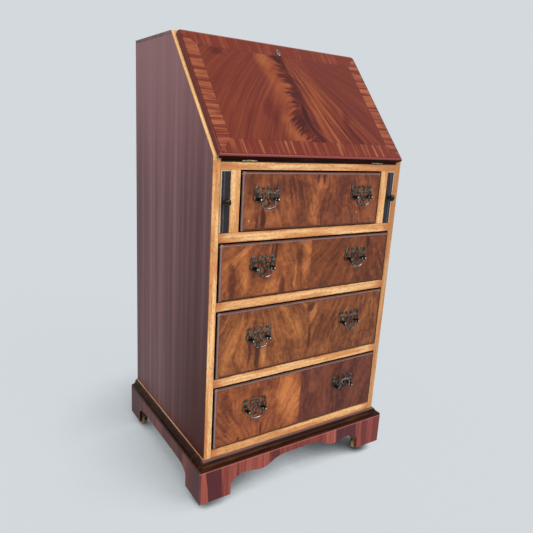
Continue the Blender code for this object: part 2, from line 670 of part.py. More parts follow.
def union_of(bm, name):
    """Shapes that cross each other in one mesh, joined into bodies with no inner faces."""
    mesh = mesh_from(bm, name)
    crossing = bpy.data.objects.new(name, mesh)
    CUTTERS.objects.link(crossing)
    mod = crossing.modifiers.new("join", "BOOLEAN")
    mod.operation = "UNION"
    mod.solver = "EXACT"
    mod.use_self = True
    mod.operand_type = "COLLECTION"
    mod.collection = NOTHING
    joined = bpy.data.meshes.new_from_object(crossing.evaluated_get(bpy.context.evaluated_depsgraph_get()))
    bpy.data.objects.remove(crossing, do_unlink=True)
    return joined


def make_lopers():
    low, high = opening_levels()[0]
    width = LOPER_SLOT_W - 2 * LOPER_SIDE_GAP
    middle_x = INNER_HALF_W - LOPER_SLOT_W / 2
    middle_z = (low + high) / 2
    forward = Matrix.Rotation(math.radians(90), 4, "X")
    profile = [(-KNOB_TENON_L, 0), (-KNOB_TENON_L, KNOB_TENON_R), (GAP, KNOB_TENON_R)]
    profile += [(GAP + KNOB_L * a, KNOB_R * b) for a, b in KNOB_SHARES]
    knob = turned_mesh("loper_knob", profile, forward, ROUND_SIDES)
    for name, x in (("left", -middle_x), ("right", middle_x)):
        slide = make_empty(name + "_loper_slide", (x, FRONT_Y, middle_z))
        loper = box(name + "_loper", (-width / 2, 0, low + GAP - middle_z),
                    (width / 2, LOPER_L, high - LOPER_TOP_GAP - middle_z), "ebonised", slide)
        bm = bmesh.new()
        add_rod(bm, (0, -OVERRUN, 0), (0, KNOB_TENON_L + GAP, 0), KNOB_TENON_R + GAP)
        cut(loper, make_object(name + "_knob_hole", mesh_from(bm, name + "_knob_hole"), None, slide))
        make_object(name + "_loper_knob", knob.copy(), "dark_bronze", slide)


def make_drawers():
    plate, bail = handle_plate(), bail_mesh()
    for number, (low, high) in enumerate(opening_levels(), start=1):
        name = "drawer_%d" % number
        half = INNER_HALF_W
        if number == 1:
            half = INNER_HALF_W - LOPER_SLOT_W - PARTITION_W
        slide = make_empty(name + "_slide", (0, FRONT_Y, low))
        height = high - low
        bm = bmesh.new()
        add_box(bm, (-half + FRONT_GAP, -FRONT_PROUD, FRONT_GAP),
                (half - FRONT_GAP, FRONT_T - FRONT_PROUD, height - FRONT_GAP))
        rim = [edge for edge in bm.edges if all(abs(v.co.y + FRONT_PROUD) < GAP for v in edge.verts)]
        bmesh.ops.bevel(bm, geom=rim, offset=FRONT_MOULD_W, offset_type="OFFSET", segments=3, profile=0.5,
                        affect="EDGES", material=-1)
        make_object(name + "_front", mesh_from(bm, name + "_front"), "walnut", slide)
        make_tray(name + "_box", half - BOX_SIDE_GAP, height - BOX_HEADROOM, slide)
        rise = height / 2 + HANDLE_RISE
        for side, x in (("left", -HANDLE_X), ("right", HANDLE_X)):
            label = name + "_" + side
            seat = make_empty(label + "_seat", (x, -FRONT_PROUD - GAP, rise), parent=slide)
            make_handle(label, seat, plate, bail)


def make_tray(name, half, height, parent):
    """An open box: the top face inset by the side's thickness and pressed down to the bottom."""
    start = FRONT_T - FRONT_PROUD + GAP
    bm = bmesh.new()
    add_box(bm, (-half, start, GAP), (half, start + BOX_D, height))
    bm.normal_update()
    top = [face for face in bm.faces if face.normal.z > 0.5]
    bmesh.ops.inset_region(bm, faces=top, thickness=BOX_SIDE_T, use_even_offset=True)
    pressed = bmesh.ops.extrude_face_region(bm, geom=top)
    floor_face = next(part for part in pressed["geom"] if isinstance(part, bmesh.types.BMFace))
    bmesh.ops.translate(bm, vec=(0, 0, GAP + BOX_BOTTOM_T - height), verts=floor_face.verts)
    bmesh.ops.delete(bm, geom=[face for face in top if face.is_valid], context="FACES_ONLY")
    make_object(name, mesh_from(bm, name), "inside_wood", parent)


def plate_points(shares):
    half = PLATE_W / 2
    return [(half * a, (PLATE_UP if b > 0 else PLATE_DOWN) * b) for a, b in shares]


def handle_plate():
    """The pierced plate with its two ball-headed posts, standing on the drawer's face at Y = 0."""
    outline = mirrored(plate_points(PLATE_SHARES))
    loop = plate_points(LOOP_SHARES)
    holes = [mirrored(plate_points(TEARDROP_SHARES)), mirrored(plate_points(HEART_SHARES)), loop,
             [(-a, b) for a, b in loop]]
    return prism_mesh("handle_plate", [outline] + holes, "Y", -PLATE_T, 0)


def post_mesh(x):
    forward = Matrix.Translation((x, 0, 0)) @ Matrix.Rotation(math.radians(90), 4, "X")
    ball_at = PLATE_T + PIVOT_OUT
    profile = [(PLATE_T / 2, 0), (PLATE_T / 2, COLLAR_R), (PLATE_T + COLLAR_T, COLLAR_R),
               (PLATE_T + 2 * COLLAR_T, NECK_R)]
    profile += [(ball_at + BALL_R * a, BALL_R * b) for a, b in BALL_SHARES]
    return turned_mesh("post", profile, forward, ROUND_SIDES)


def bail_mesh():
    """The swan-neck bail, hanging from its pivot line along X."""
    half = [(POST_SPACING / 2 * a, -BAIL_DROP * b) for a, b in BAIL_SHARES]
    line = half + [(-x, z) for x, z in reversed(half[:-1])]
    curve = bpy.data.curves.new("bail", "CURVE")
    curve.dimensions = "3D"
    curve.bevel_depth = BAIL_R
    curve.bevel_resolution = 1
    curve.use_fill_caps = True
    spline = curve.splines.new("POLY")
    spline.points.add(len(line) - 1)
    for point, (x, z) in zip(spline.points, line):
        point.co = (x, 0, z, 1)
    guide = bpy.data.objects.new("bail_line", curve)
    PARTS.objects.link(guide)
    mesh = bpy.data.meshes.new_from_object(guide.evaluated_get(bpy.context.evaluated_depsgraph_get()))
    bpy.data.objects.remove(guide, do_unlink=True)
    bm = bmesh.new()
    bm.from_mesh(mesh)
    bpy.data.meshes.remove(mesh)
    bmesh.ops.remove_doubles(bm, verts=bm.verts, dist=MERGE_DIST)
    return mesh_from(bm, "bail", smooth=True)


def make_handle(label, seat, plate, bail):
    body = make_object(label + "_plate", plate.copy(), "dark_bronze", seat)
    for side, x in (("a", -POST_SPACING / 2), ("b", POST_SPACING / 2)):
        join(body, make_object(label + "_post_" + side, post_mesh(x), None, seat))
    bm = bmesh.new()
    pivot_y = -PLATE_T - PIVOT_OUT
    for side in (-1, 1):
        mouth = side * (POST_SPACING / 2 - BALL_R - OVERRUN)
        end = side * (POST_SPACING / 2 - BALL_R + PIVOT_BORE_L)
        add_rod(bm, (mouth, pivot_y, 0), (end, pivot_y, 0), PIVOT_BORE_R, ROUND_SIDES)
    cut(body, make_object(label + "_pivot_bores", mesh_from(bm, label + "_pivot_bores"), None, seat))
    swing = math.radians(BAIL_RAISED_DEG) if label == RAISED_BAIL else 0
    pivot = make_empty(label + "_pivot", (0, pivot_y, 0), (-swing, 0, 0), seat)
    make_object(label + "_bail", bail.copy(), "dark_bronze", pivot)


def make_pigeonholes():
    half = INNER_HALF_W - GAP
    low, high = BED_Z + GAP, TOP_UNDER_Z - GAP
    back = INSIDE_BACK_Y
    front = back - NEST_D
    nest = box("pigeonholes", (-half, front, low), (half, back, high), "inside_wood")
    bm = bmesh.new()
    rows = ((low + NEST_BOARD_T, low + NEST_LOW_H), (low + NEST_LOW_H + NEST_BOARD_T, high - NEST_BOARD_T))
    for count, (bottom, top) in zip(NEST_CELL_COUNTS, rows):
        width = (2 * half - (count + 1) * NEST_BOARD_T) / count
        for i in range(count):
            left = -half + NEST_BOARD_T + i * (width + NEST_BOARD_T)
            add_box(bm, (left, front - OVERRUN, bottom), (left + width, back - NEST_BACK_T, top))
    cut(nest, make_object("pigeonhole_cells", mesh_from(bm, "pigeonhole_cells"), None))


# Reach of the fall up its slant: its lip stands a little over the top, its panel stops under the top board
FALL_TOP = (TOP_Z + FALL_STANDS_OVER_TOP - BED_Z - FALL_T * math.cos(SLANT)) / math.sin(SLANT)
FALL_PANEL_TOP = (TOP_UNDER_Z - GAP - BED_Z - FALL_PANEL_T * math.cos(SLANT)) / math.sin(SLANT) - GAP

NOTHING = bpy.data.collections.new("nothing")
FALL_AXIS = make_empty("fall_axis", (0, FRONT_Y, BED_Z), (SLANT, 0, 0))
HINGE_HALF = HINGE_L / 2 + GAP
HINGE_BEDS = hinge_tool("bed_leaf_room", (-HINGE_HALF, FRONT_Y, BED_Z - LEAF_T - GAP),
                        (HINGE_HALF, FRONT_Y + LEAF_W + GAP, BED_Z + OVERRUN))
HINGE_FALLS = hinge_tool("fall_leaf_room", (-HINGE_HALF, -OVERRUN, -OVERRUN),
                         (HINGE_HALF, LEAF_W + GAP, LEAF_T + GAP), FALL_AXIS)
HINGE_BARRELS = hinge_barrels()

make_sides()
make_top_board()
make_boards()
make_base()
make_castors()
make_fall()
make_hinges()
make_lopers()
make_drawers()
make_pigeonholes()
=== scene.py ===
import json
import math

import bmesh
import bpy
from mathutils import Matrix, Quaternion, Vector


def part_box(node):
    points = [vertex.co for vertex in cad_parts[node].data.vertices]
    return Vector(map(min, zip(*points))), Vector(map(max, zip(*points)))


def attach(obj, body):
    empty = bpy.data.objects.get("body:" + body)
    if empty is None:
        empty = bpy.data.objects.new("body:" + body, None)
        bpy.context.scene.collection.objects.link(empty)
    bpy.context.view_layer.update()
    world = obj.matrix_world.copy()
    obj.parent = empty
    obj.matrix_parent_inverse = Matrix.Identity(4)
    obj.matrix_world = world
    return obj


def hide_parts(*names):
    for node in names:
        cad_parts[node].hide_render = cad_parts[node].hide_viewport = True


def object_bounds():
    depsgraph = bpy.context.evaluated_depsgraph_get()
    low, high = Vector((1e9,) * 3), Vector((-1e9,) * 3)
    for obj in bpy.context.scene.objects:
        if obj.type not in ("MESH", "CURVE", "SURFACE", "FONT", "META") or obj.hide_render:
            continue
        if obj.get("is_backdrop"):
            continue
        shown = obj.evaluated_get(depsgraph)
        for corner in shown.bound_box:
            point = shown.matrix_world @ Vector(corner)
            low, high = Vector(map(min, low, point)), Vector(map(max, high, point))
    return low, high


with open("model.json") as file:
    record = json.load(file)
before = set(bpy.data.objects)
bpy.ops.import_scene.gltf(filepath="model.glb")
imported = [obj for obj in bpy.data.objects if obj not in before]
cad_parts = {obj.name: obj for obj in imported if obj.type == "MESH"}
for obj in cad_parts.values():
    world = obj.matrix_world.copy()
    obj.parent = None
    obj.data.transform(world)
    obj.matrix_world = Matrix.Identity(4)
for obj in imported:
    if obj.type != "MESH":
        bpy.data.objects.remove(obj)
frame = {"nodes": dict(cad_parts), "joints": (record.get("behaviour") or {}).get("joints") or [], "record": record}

CAD_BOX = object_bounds()

bl_info = {
    "name": "Fall-front writing bureau",
    "version": (1, 0, 0),
    "blender": (4, 5, 0),
    "location": "View3D > Sidebar > Bureau",
    "description": "Dresses a fall-front writing bureau in its veneers, mouldings and brasses",
    "category": "Object",
}

MM = 0.001
MERGE_DIST = 0.01 * MM
# Room that a piece leaves to the solid beside it
GAP = 0.3 * MM
# Rise or width of a step that only parts two surfaces
HAIR = 0.1 * MM
# Angles of a quarter round, in even steps
QUARTER = [math.pi / 2 * i / 8 for i in range(9)]

# Places that the frame gives
BODY_OF = {node: body for body, nodes in frame["record"]["behaviour"]["bodies"].items() for node in nodes}
JOINTS = {joint["name"]: joint for joint in frame["joints"]}
NODES = frame["nodes"]
HINGE_LINE = Vector(JOINTS["fall_hinge"]["pos_m"])
UP_SLANT = Vector(JOINTS["bolt_throw"]["axis"])
SLANT = math.atan2(UP_SLANT.z, UP_SLANT.y)
FALL_PLACE = Matrix.Translation(HINGE_LINE) @ Matrix.Rotation(SLANT, 4, "X")
HALF_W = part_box("right_side")[1].x
FRONT_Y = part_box("left_lipping")[0].y
BACK_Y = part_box("back_panel")[1].y
CARCASE_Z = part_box("left_side")[0].z
FACING = Matrix.Rotation(math.radians(90), 4, "X")


def tint(red, green, blue):
    """A colour written in screen values from 0 to 255, as the linear values that a shader takes."""
    shares = (red / 255, green / 255, blue / 255)
    return tuple(v / 12.92 if v <= 0.04045 else ((v + 0.055) / 1.055) ** 2.4 for v in shares)


def colour_setting(name, description, *screen):
    return bpy.props.FloatVectorProperty(name=name, description=description, subtype="COLOR", size=3, min=0,
                                         max=1, default=tint(*screen))


def length_setting(name, description, millimetres):
    return bpy.props.FloatProperty(name=name, description=description, subtype="DISTANCE", unit="LENGTH",
                                   min=0, precision=4, default=millimetres * MM)


class BureauColours(bpy.types.PropertyGroup):
    side_dark: colour_setting("Side, dark", "Dark grain of the mahogany sides", 94, 54, 55)
    side: colour_setting("Side", "Middle tone of the mahogany sides", 120, 78, 80)
    side_light: colour_setting("Side, light", "Light grain of the mahogany sides", 152, 107, 108)
    honey_dark: colour_setting("Honey wood, dark", "Dark grain of the pale edges and rails", 206, 136, 80)
    honey: colour_setting("Honey wood", "Middle tone of the pale edges and rails", 243, 178, 116)
    honey_light: colour_setting("Honey wood, light", "Light grain of the pale edges and rails", 255, 208, 148)
    honey_pore: colour_setting("Honey wood, pores", "Pores and specks in the pale edges", 112, 62, 38)
    walnut_dark: colour_setting("Walnut, dark", "Dark figure of the drawer fronts", 98, 50, 30)
    walnut: colour_setting("Walnut", "Middle tone of the drawer fronts", 148, 86, 48)
    walnut_light: colour_setting("Walnut, light", "Light figure of the drawer fronts", 186, 120, 68)
    flame_dark: colour_setting("Flame, dark", "Heart of the figure on the fall", 54, 16, 20)
    flame: colour_setting("Flame", "Red ground of the fall", 110, 43, 32)
    flame_bright: colour_setting("Flame, bright", "Orange streaks of the fall", 142, 70, 40)
    flame_light: colour_setting("Flame, light", "Lightest streaks of the fall", 164, 92, 52)
    band_dark: colour_setting("Crossband, dark", "Dark stripes of the crossband", 118, 46, 32)
    band_light: colour_setting("Crossband, light", "Light stripes of the crossband", 172, 98, 64)
    moulding: colour_setting("Moulding", "Dark stained mouldings", 48, 20, 8)
    moulding_worn: colour_setting("Moulding, worn", "Where the stain of the mouldings is rubbed", 88, 46, 24)
    # Painted highlight on the top of the base moulding
    moulding_highlight: colour_setting("Moulding, polished", "Polished top of the base moulding", 146, 114, 108)
    fall_edge: colour_setting("Fall edge", "Red-brown moulded edge of the fall", 104, 46, 42)
    edge: colour_setting("Drawer edge", "Dark stained edge of the drawer fronts", 88, 46, 30)
    # Painted highlight on the crest of the drawers' edges
    edge_polish: colour_setting("Drawer edge, polished", "Polished crest of the drawers' edges", 160, 138, 140)
    # Painted shadow in the gaps round the drawers, under the fall and on its edge
    gap_stain: colour_setting("Gap stain", "Sides of the drawer fronts in the gaps", 22, 13, 11)
    plinth_dark: colour_setting("Plinth, dark", "Dark bands of the plinth veneer", 86, 34, 38)
    plinth: colour_setting("Plinth", "Middle tone of the plinth veneer", 132, 58, 50)
    plinth_light: colour_setting("Plinth, light", "Light bands of the plinth veneer", 184, 98, 82)
    ebony: colour_setting("Loper", "Black stain of the lopers", 38, 36, 42)
    ebony_worn: colour_setting("Loper, worn", "Where the black stain is rubbed", 92, 86, 90)
    inside_dark: colour_setting("Inside, dark", "Dark grain of the inside wood", 118, 78, 46)
    inside: colour_setting("Inside", "Middle tone of the inside wood", 158, 112, 70)
    inside_light: colour_setting("Inside, light", "Light grain of the inside wood", 190, 144, 96)
    bronze: colour_setting("Bronze", "Dark patina of the handles", 68, 63, 57)
    bronze_rubbed: colour_setting("Bronze, rubbed", "Handles where hands have rubbed them", 138, 130, 121)
    brass: colour_setting("Brass", "Yellow brass of hinges and lock", 176, 144, 92)
    brass_dull: colour_setting("Brass, dull", "Grey-green tarnish on brass", 104, 106, 92)
    tread: colour_setting("Castor tread", "Pale worn tread of the castors", 206, 188, 150)
    backdrop: colour_setting("Backdrop", "Pale floor and background", 211, 217, 221)


class BureauSizes(bpy.types.PropertyGroup):
    soft_edge: length_setting("Soft edge", "Width of the worn edges of boards", 0.5)
    drawer_mould: length_setting("Drawer edge width", "Width of the rounded edge of a drawer front", 4.4)
    gap_side: length_setting("Side gap", "Extra room at the sides of a drawer front", 2.4)
    gap_over: length_setting("Upper gap", "Extra room over a drawer front", 2.0)
    gap_under: length_setting("Lower gap", "Extra room under a drawer front", 0.4)
    fall_mould: length_setting("Fall edge width", "Width of the thumb moulding round the fall", 5.0)
    fall_corner: length_setting("Fall corner", "Radius of the fall's upper corners", 10.0)
    strip_w: length_setting("Pale strip width", "Width of the strip between a side and the moulding", 2.4)
    strip_h: length_setting("Pale strip height", "Height of the strip above the moulding", 1.3)
    plinth_t: length_setting("Plinth thickness", "Thickness of the plinth's boards", 9.0)
    block_base: length_setting("Corner block height", "Height of the corner blocks over the feet's soles", 18.0)
    plate_t: length_setting("Handle plate thickness", "Thickness of a handle's pierced plate", 1.6)
    post_spacing: length_setting("Post spacing", "Distance between the posts of a handle", 43.0)
    pivot_out: length_setting("Pivot reach", "Distance of the bail's pivots from the plate", 10.0)
    ball_r: length_setting("Ball radius", "Radius of the ball on a handle's post", 4.6)
    bail_r: length_setting("Bail radius", "Radius of a bail's wire where it hangs", 1.7)
    pin_r: length_setting("Pin radius", "Radius of the small pins in the top drawer", 1.5)
    screw_r: length_setting("Screw radius", "Radius of a hinge screw's head", 2.7)


class BureauStage(bpy.types.PropertyGroup):
    sky: bpy.props.FloatProperty(name="Sky", description="Even light from all round", min=0, default=0.60)
    key: bpy.props.FloatProperty(name="Key", description="Strength of the large soft lamp at the front", min=0,
                                 default=1.6)
    glint: bpy.props.FloatProperty(name="Glint", description="Strength of the small lamp for highlights", min=0,
                                   default=0.35)
    glow: bpy.props.FloatProperty(name="Floor glow", description="Share of the floor that shows no cast shadow",
                                  min=0, max=1, default=0.93)
    contact: length_setting("Contact shadow", "Reach of the soft shadow close round the foot", 190)
    reach: length_setting("Wide shadow", "Reach of the soft shadow on the side away from the light", 340)
    floor_size: length_setting("Floor", "Length of the floor's sides", 60000)
    lens: bpy.props.FloatProperty(name="Lens", description="Focal length", unit="CAMERA", default=35.214)
    yaw: bpy.props.FloatProperty(name="Yaw", description="Turn of the camera", subtype="ANGLE",
                                 default=math.radians(-33.5542))
    pitch: bpy.props.FloatProperty(name="Pitch", description="Tilt of the camera", subtype="ANGLE",
                                   default=math.radians(-14.6881))
    roll: bpy.props.FloatProperty(name="Roll", description="Roll of the camera", subtype="ANGLE",
                                  default=math.radians(3.4132))
    camera_left: length_setting("Camera left", "Distance of the camera beyond the left side", 458.1)
    camera_out: length_setting("Camera out", "Distance of the camera before the front", 891.8)
    camera_up: length_setting("Camera up", "Height of the camera above the plinth's feet", 805.3)


class Field:
    """A number that varies over a surface: a node's output, and the sums that make further nodes of it."""

    def __init__(self, finish, socket):
        self.finish = finish
        self.socket = socket

    def __add__(self, other):
        return self.finish.sum_of("ADD", self, other)

    def __sub__(self, other):
        return self.finish.sum_of("SUBTRACT", self, other)

    def __mul__(self, other):
        return self.finish.sum_of("MULTIPLY", self, other)

    def __truediv__(self, other):
        return self.finish.sum_of("DIVIDE", self, other)

    def __rsub__(self, other):
        return self.finish.sum_of("SUBTRACT", other, self)

    __radd__ = __add__
    __rmul__ = __mul__

    def abs(self):
        return self.finish.sum_of("ABSOLUTE", self)

    def least(self, other):
        return self.finish.sum_of("MINIMUM", self, other)

    def most(self, other):
        return self.finish.sum_of("MAXIMUM", self, other)

    def over(self, edge):
        return self.finish.sum_of("GREATER_THAN", self, edge)

    def rise(self, low, high):
        """Climbs smoothly from 0 at low to 1 at high; a low above high makes it fall."""
        ends = (low, high, 0.0, 1.0) if low < high else (high, low, 1.0, 0.0)
        names = ("From Min", "From Max", "To Min", "To Max")
        made = self.finish.node("MapRange", [("Value", self)] + list(zip(names, ends)),
                                interpolation_type="SMOOTHSTEP")
        return Field(self.finish, made.outputs[0])


class Nodes:
    """A node tree in the making."""

    def __init__(self, tree):
        self.tree = tree

    def feed(self, socket, value):
        if isinstance(value, Field):
            value = value.socket
        if isinstance(value, bpy.types.NodeSocket):
            self.tree.links.new(value, socket)
        elif socket.type == "RGBA":
            socket.default_value = (*value, 1.0)
        else:
            socket.default_value = value

    def node(self, kind, inputs=(), **settings):
        made = self.tree.nodes.new("ShaderNode" + kind)
        for key, value in settings.items():
            setattr(made, key, value)
        for key, value in inputs:
            self.feed(made.inputs[key], value)
        return made

    def sum_of(self, operation, *values):
        return Field(self, self.node("Math", enumerate(values), operation=operation).outputs[0])

    def seen(self):
        """1 for rays from the camera, from gloss and from glass, and 0 for those that carry light."""
        path = self.node("LightPath").outputs
        rays = [Field(self, path[name]) for name in ("Is Camera Ray", "Is Glossy Ray", "Is Transmission Ray")]
        return rays[0].most(rays[1]).most(rays[2])


class Finish(Nodes):
    """A node material in the making."""

    def __init__(self, name, roughness, metallic=0.0, gloss=0.25):
        self.material = bpy.data.materials.new(name)
        self.material.use_nodes = True
        super().__init__(self.material.node_tree)
        self.shader = self.tree.nodes["Principled BSDF"]
        self.roughness = roughness
        self.shader.inputs["Metallic"].default_value = metallic
        self.shader.inputs["Specular IOR Level"].default_value = gloss

    def position(self, centre=(0, 0, 0), turn=(0, 0, 0)):
        """The point's three coordinates in a frame with the given centre and turn."""
        coords = self.node("TexCoord").outputs["Object"]
        placed = self.node("Mapping", [("Vector", coords), ("Location", centre), ("Rotation", turn)],
                           vector_type="TEXTURE").outputs[0]
        parts = self.node("SeparateXYZ", [("Vector", placed)]).outputs
        return tuple(Field(self, part) for part in parts)

    def noise(self, fields, scales, seed=0.0, detail=2.0, distortion=0.0):
        where = self.node("CombineXYZ", zip("XYZ", fields)).outputs[0]
        placed = self.node("VectorMath", enumerate((where, scales, (seed, seed, seed))),
                           operation="MULTIPLY_ADD").outputs[0]
        made = self.node("TexNoise", [("Vector", placed), ("Scale", 1.0), ("Detail", detail),
                                      ("Distortion", distortion)])
        return Field(self, made.outputs["Fac"])

    def curve(self, field, points):
        made = self.node("FloatCurve", [("Value", field)])
        line = made.mapping.curves[0].points
        for point, (at, value) in zip(line, (points[0], points[-1])):
            point.location = (at, value)
        for at, value in points[1:-1]:
            line.new(at, value)
        made.mapping.update()
        return Field(self, made.outputs[0])

    def ramp(self, field, stops):
        made = self.node("ValToRGB", [("Fac", field)])
        elements = made.color_ramp.elements
        while len(elements) < len(stops):
            elements.new(0.5)
        for element, (at, colour) in zip(elements, stops):
            element.position = at
            element.color = (*colour, 1.0)
        return made.outputs["Color"]

    def blend(self, share, first, second, blend_type="MIX"):
        made = self.node("Mix", data_type="RGBA", blend_type=blend_type)
        self.feed(made.inputs[0], share)
        self.feed(made.inputs[6], first)
        self.feed(made.inputs[7], second)
        return made.outputs[2]

    def done(self, colour, height, depth, rough):
        """Joins colour, bump and roughness to the shader and gives the material."""
        bump = self.node("Bump", [("Height", height), ("Strength", 1.0), ("Distance", depth)])
        for name, value in (("Base Color", colour), ("Normal", bump.outputs[0]),
                            ("Roughness", rough + self.roughness)):
            self.feed(self.shader.inputs[name], value)
        return self.material


def even_stops(colours, low=0.34, high=0.66):
    step = (high - low) / (len(colours) - 1)
    return [(low + step * i, colour) for i, colour in enumerate(colours)]


def darker(colour, share):
    return tuple(v * share for v in colour)


def lean(colour, red, green, blue):
    return (colour[0] * red, colour[1] * green, colour[2] * blue)


def tones_of(colours, wood):
    """The dark, middle and light tones of a wood."""
    return tuple(getattr(colours, wood + part) for part in ("_dark", "", "_light"))


# Woods

def fibres(f, grain, seed):
    """Fine fibres along the grain and short pores among them, both from 0 to 1."""
    fine = f.noise(grain, (11, 560, 560), seed + 13, detail=3).rise(0.36, 0.64)
    pores = f.noise(grain, (150, 1500, 1500), seed + 23, detail=1).rise(0.60, 0.70)
    return fine, pores


def plain_wood(f, grain, colours, seed, bands=(1.5, 36), flow=0.006, fibre=0.22, pore=0.5, spread=(0.34, 0.66)):
    """Colour and height of straight-grained wood; grain holds the fields along, across and into it."""
    along, across, into = grain
    drift = f.noise(grain, (4, 9, 9), seed) - 0.5
    run = (along, across + drift * flow, into)
    band = f.noise(run, (bands[0], bands[1], bands[1]), seed + 7, detail=5)
    fine, pores = fibres(f, run, seed)
    colour = f.ramp(band, even_stops(colours, *spread))
    colour = f.blend(fine * fibre, colour, darker(colours[0], 0.7))
    colour = f.blend(pores * pore, colour, darker(colours[0], 0.45))
    return colour, fine * 0.5 - pores


def wood_finish(name, grain_of, colours, seed, roughness, **ways):
    """A whole finish of straight-grained wood."""
    f = Finish(name, roughness)
    colour, height = plain_wood(f, grain_of(f), colours, seed, **ways)
    return f.done(colour, height, 0.12 * MM, height * -0.06)


def along_x(f):
    x, y, z = f.position()
    return x, z, y


def along_y(f):
    x, y, z = f.position()
    return y, x, z


def along_z(f):
    x, y, z = f.position()
    return z, y, x


def side_mahogany(colours, seed):
    """Fine light lines up the side, with a painted sheen that lightens it towards the top and painted shade that
    darkens it towards the foot at the front.
    """
    f = Finish("side_mahogany_%d" % seed, 0.42, gloss=0.12)
    grain = along_z(f)
    along, across, _ = grain
    colour, height = plain_wood(f, grain, tones_of(colours, "side"), seed, bands=(0.7, 60), flow=0.005,
                                pore=0.35, spread=(0.26, 0.74))
    stripe = f.noise(grain, (0.4, 9, 9), seed + 31, detail=4).rise(0.36, 0.66)
    colour = f.blend(stripe * 0.35, colour, darker(colours.side_dark, 0.8))
    lines = f.noise(grain, (1.5, 210, 210), seed + 37, detail=2).rise(0.54, 0.66)
    colour = f.blend(lines * 0.22, colour, lean(colours.side_light, 1.25, 1.1, 1.1))
    # Painted sheen: lighter towards the top
    top_sheen = along.rise(CARCASE_Z + 0.50, CARCASE_Z + 0.95)
    colour = f.blend(top_sheen * 0.65, colour, lean(colours.side_light, 1.25, 1.25, 1.25))
    # Painted shade: darker towards the foot at the front
    low = along.rise(CARCASE_Z + 0.60, CARCASE_Z + 0.05) * across.rise(BACK_Y - 0.14, FRONT_Y + 0.04)
    colour = f.blend(low * 0.97, colour, lean(colours.side_dark, 0.60, 0.20, 0.10))
    return f.done(colour, height, 0.10 * MM, height * -0.05)


def honey_grain(f, seed, grain, colours, ends=0.0, rim=0.0):
    """Pale wood with brown pores and specks, redder where ends is 1 and darker where rim is 1."""
    colour, height = plain_wood(f, grain, tones_of(colours, "honey"), seed, bands=(6, 150), flow=0.003,
                                fibre=0.16, spread=(0.26, 0.62))
    cloud = f.noise(grain, (9, 60, 60), seed + 41, detail=4).rise(0.46, 0.64)
    colour = f.blend(cloud * 0.65, colour, lean(colours.honey_dark, 0.95, 0.78, 0.62))
    speck = f.noise(grain, (110, 420, 420), seed + 47, detail=3).rise(0.54, 0.70)
    colour = f.blend(speck * 0.5, colour, colours.honey_pore)
    colour = f.blend(ends, colour, lean(colours.honey_dark, 0.75, 0.55, 0.5))
    colour = f.blend(rim, colour, lean(colours.honey_pore, 1.0, 0.8, 0.7))
    return colour, height - speck * 0.6


HONEY_ROUGHNESS = 0.50
HONEY_RELIEF = 0.15 * MM
NARROW_RIM = 1.4 * MM


def honey_done(f, colour, height):
    return f.done(colour, height, HONEY_RELIEF, height * -0.08)


def honey_finish(name, colours, seed, grain_of):
    f = Finish(name, HONEY_ROUGHNESS)
    return honey_done(f, *honey_grain(f, seed, grain_of(f), colours))


def near_ends(f, grain, seed, start, end):
    """A share that climbs towards the left and right ends, with an uneven border."""
    return (grain[0].abs() + f.noise(grain, (60, 60, 300), seed) * 0.03).rise(start, end)


def past_edge(field, low, high):
    """How far a coordinate lies outside the stretch from low to high."""
    return (field - (low + high) / 2).abs() - (high - low) / 2


def bed_finish(colours, seed, top_z):
    """The writing bed: honey wood, with painted shadow along its upper front edge, and redder at the ends."""
    f = Finish("writing_bed", HONEY_ROUGHNESS)
    x, y, z = f.position()
    front = y.rise(FRONT_Y + 12 * MM, FRONT_Y + 8 * MM)
    edge = near_ends(f, (x, y, z), seed, HALF_W - 45 * MM, HALF_W - 18 * MM)
    right_end = x.rise(90 * MM, 220 * MM) * 0.75
    colour, height = honey_grain(f, seed, (x, z, y), colours, ends=(edge * 0.4).most(right_end) * front)
    wander = f.noise((x, y, z), (40, 40, 300), seed + 3) * (1.6 * MM)
    # Painted shadow along the upper front edge, in the gap under the fall
    stain = (z + wander).rise(top_z - 2.4 * MM, top_z - 1.4 * MM)
    return honey_done(f, f.blend(stain * front, colour, colours.gap_stain), height)


def ragged_rim(f, grain, distance, seed, width=2.2 * MM):
    """A share that climbs to 1 at the line where distance is 0, with an uneven border."""
    wander = f.noise(grain, (50, 260, 260), seed + 53, detail=3) * (4.5 * MM)
    return (distance + wander).rise(2.2 * MM - width, 3.0 * MM)


def rail_finish(name, colours, seed, node, rail_back, half):
    """A rail: honey wood in front with redder ends, plain inside wood behind it."""
    f = Finish(name, HONEY_ROUGHNESS)
    x, y, z = f.position()
    low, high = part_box(node)
    edge = near_ends(f, (x, y, z), seed, half - 12 * MM, half + 12 * MM)
    rim = ragged_rim(f, (x, z, y), past_edge(z, low.z, high.z), seed)
    front, height = honey_grain(f, seed, (x, z, y), colours, ends=edge * 0.75, rim=rim * 0.8)
    inner, height_in = plain_wood(f, (x, y, z), tones_of(colours, "inside"), seed)
    return f.done(f.blend(y.over(rail_back), front, inner), height, HONEY_RELIEF, height_in * -0.05)


def upright_finish(name, colours, seed, node):
    """An upright partition between a loper and the top drawer."""
    f = Finish(name, HONEY_ROUGHNESS)
    x, y, z = f.position()
    low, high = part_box(node)
    rim = ragged_rim(f, (z, x, y), past_edge(x, low.x, high.x), seed, NARROW_RIM)
    return honey_done(f, *honey_grain(f, seed, (z, x, y), colours, rim=rim * 0.6))


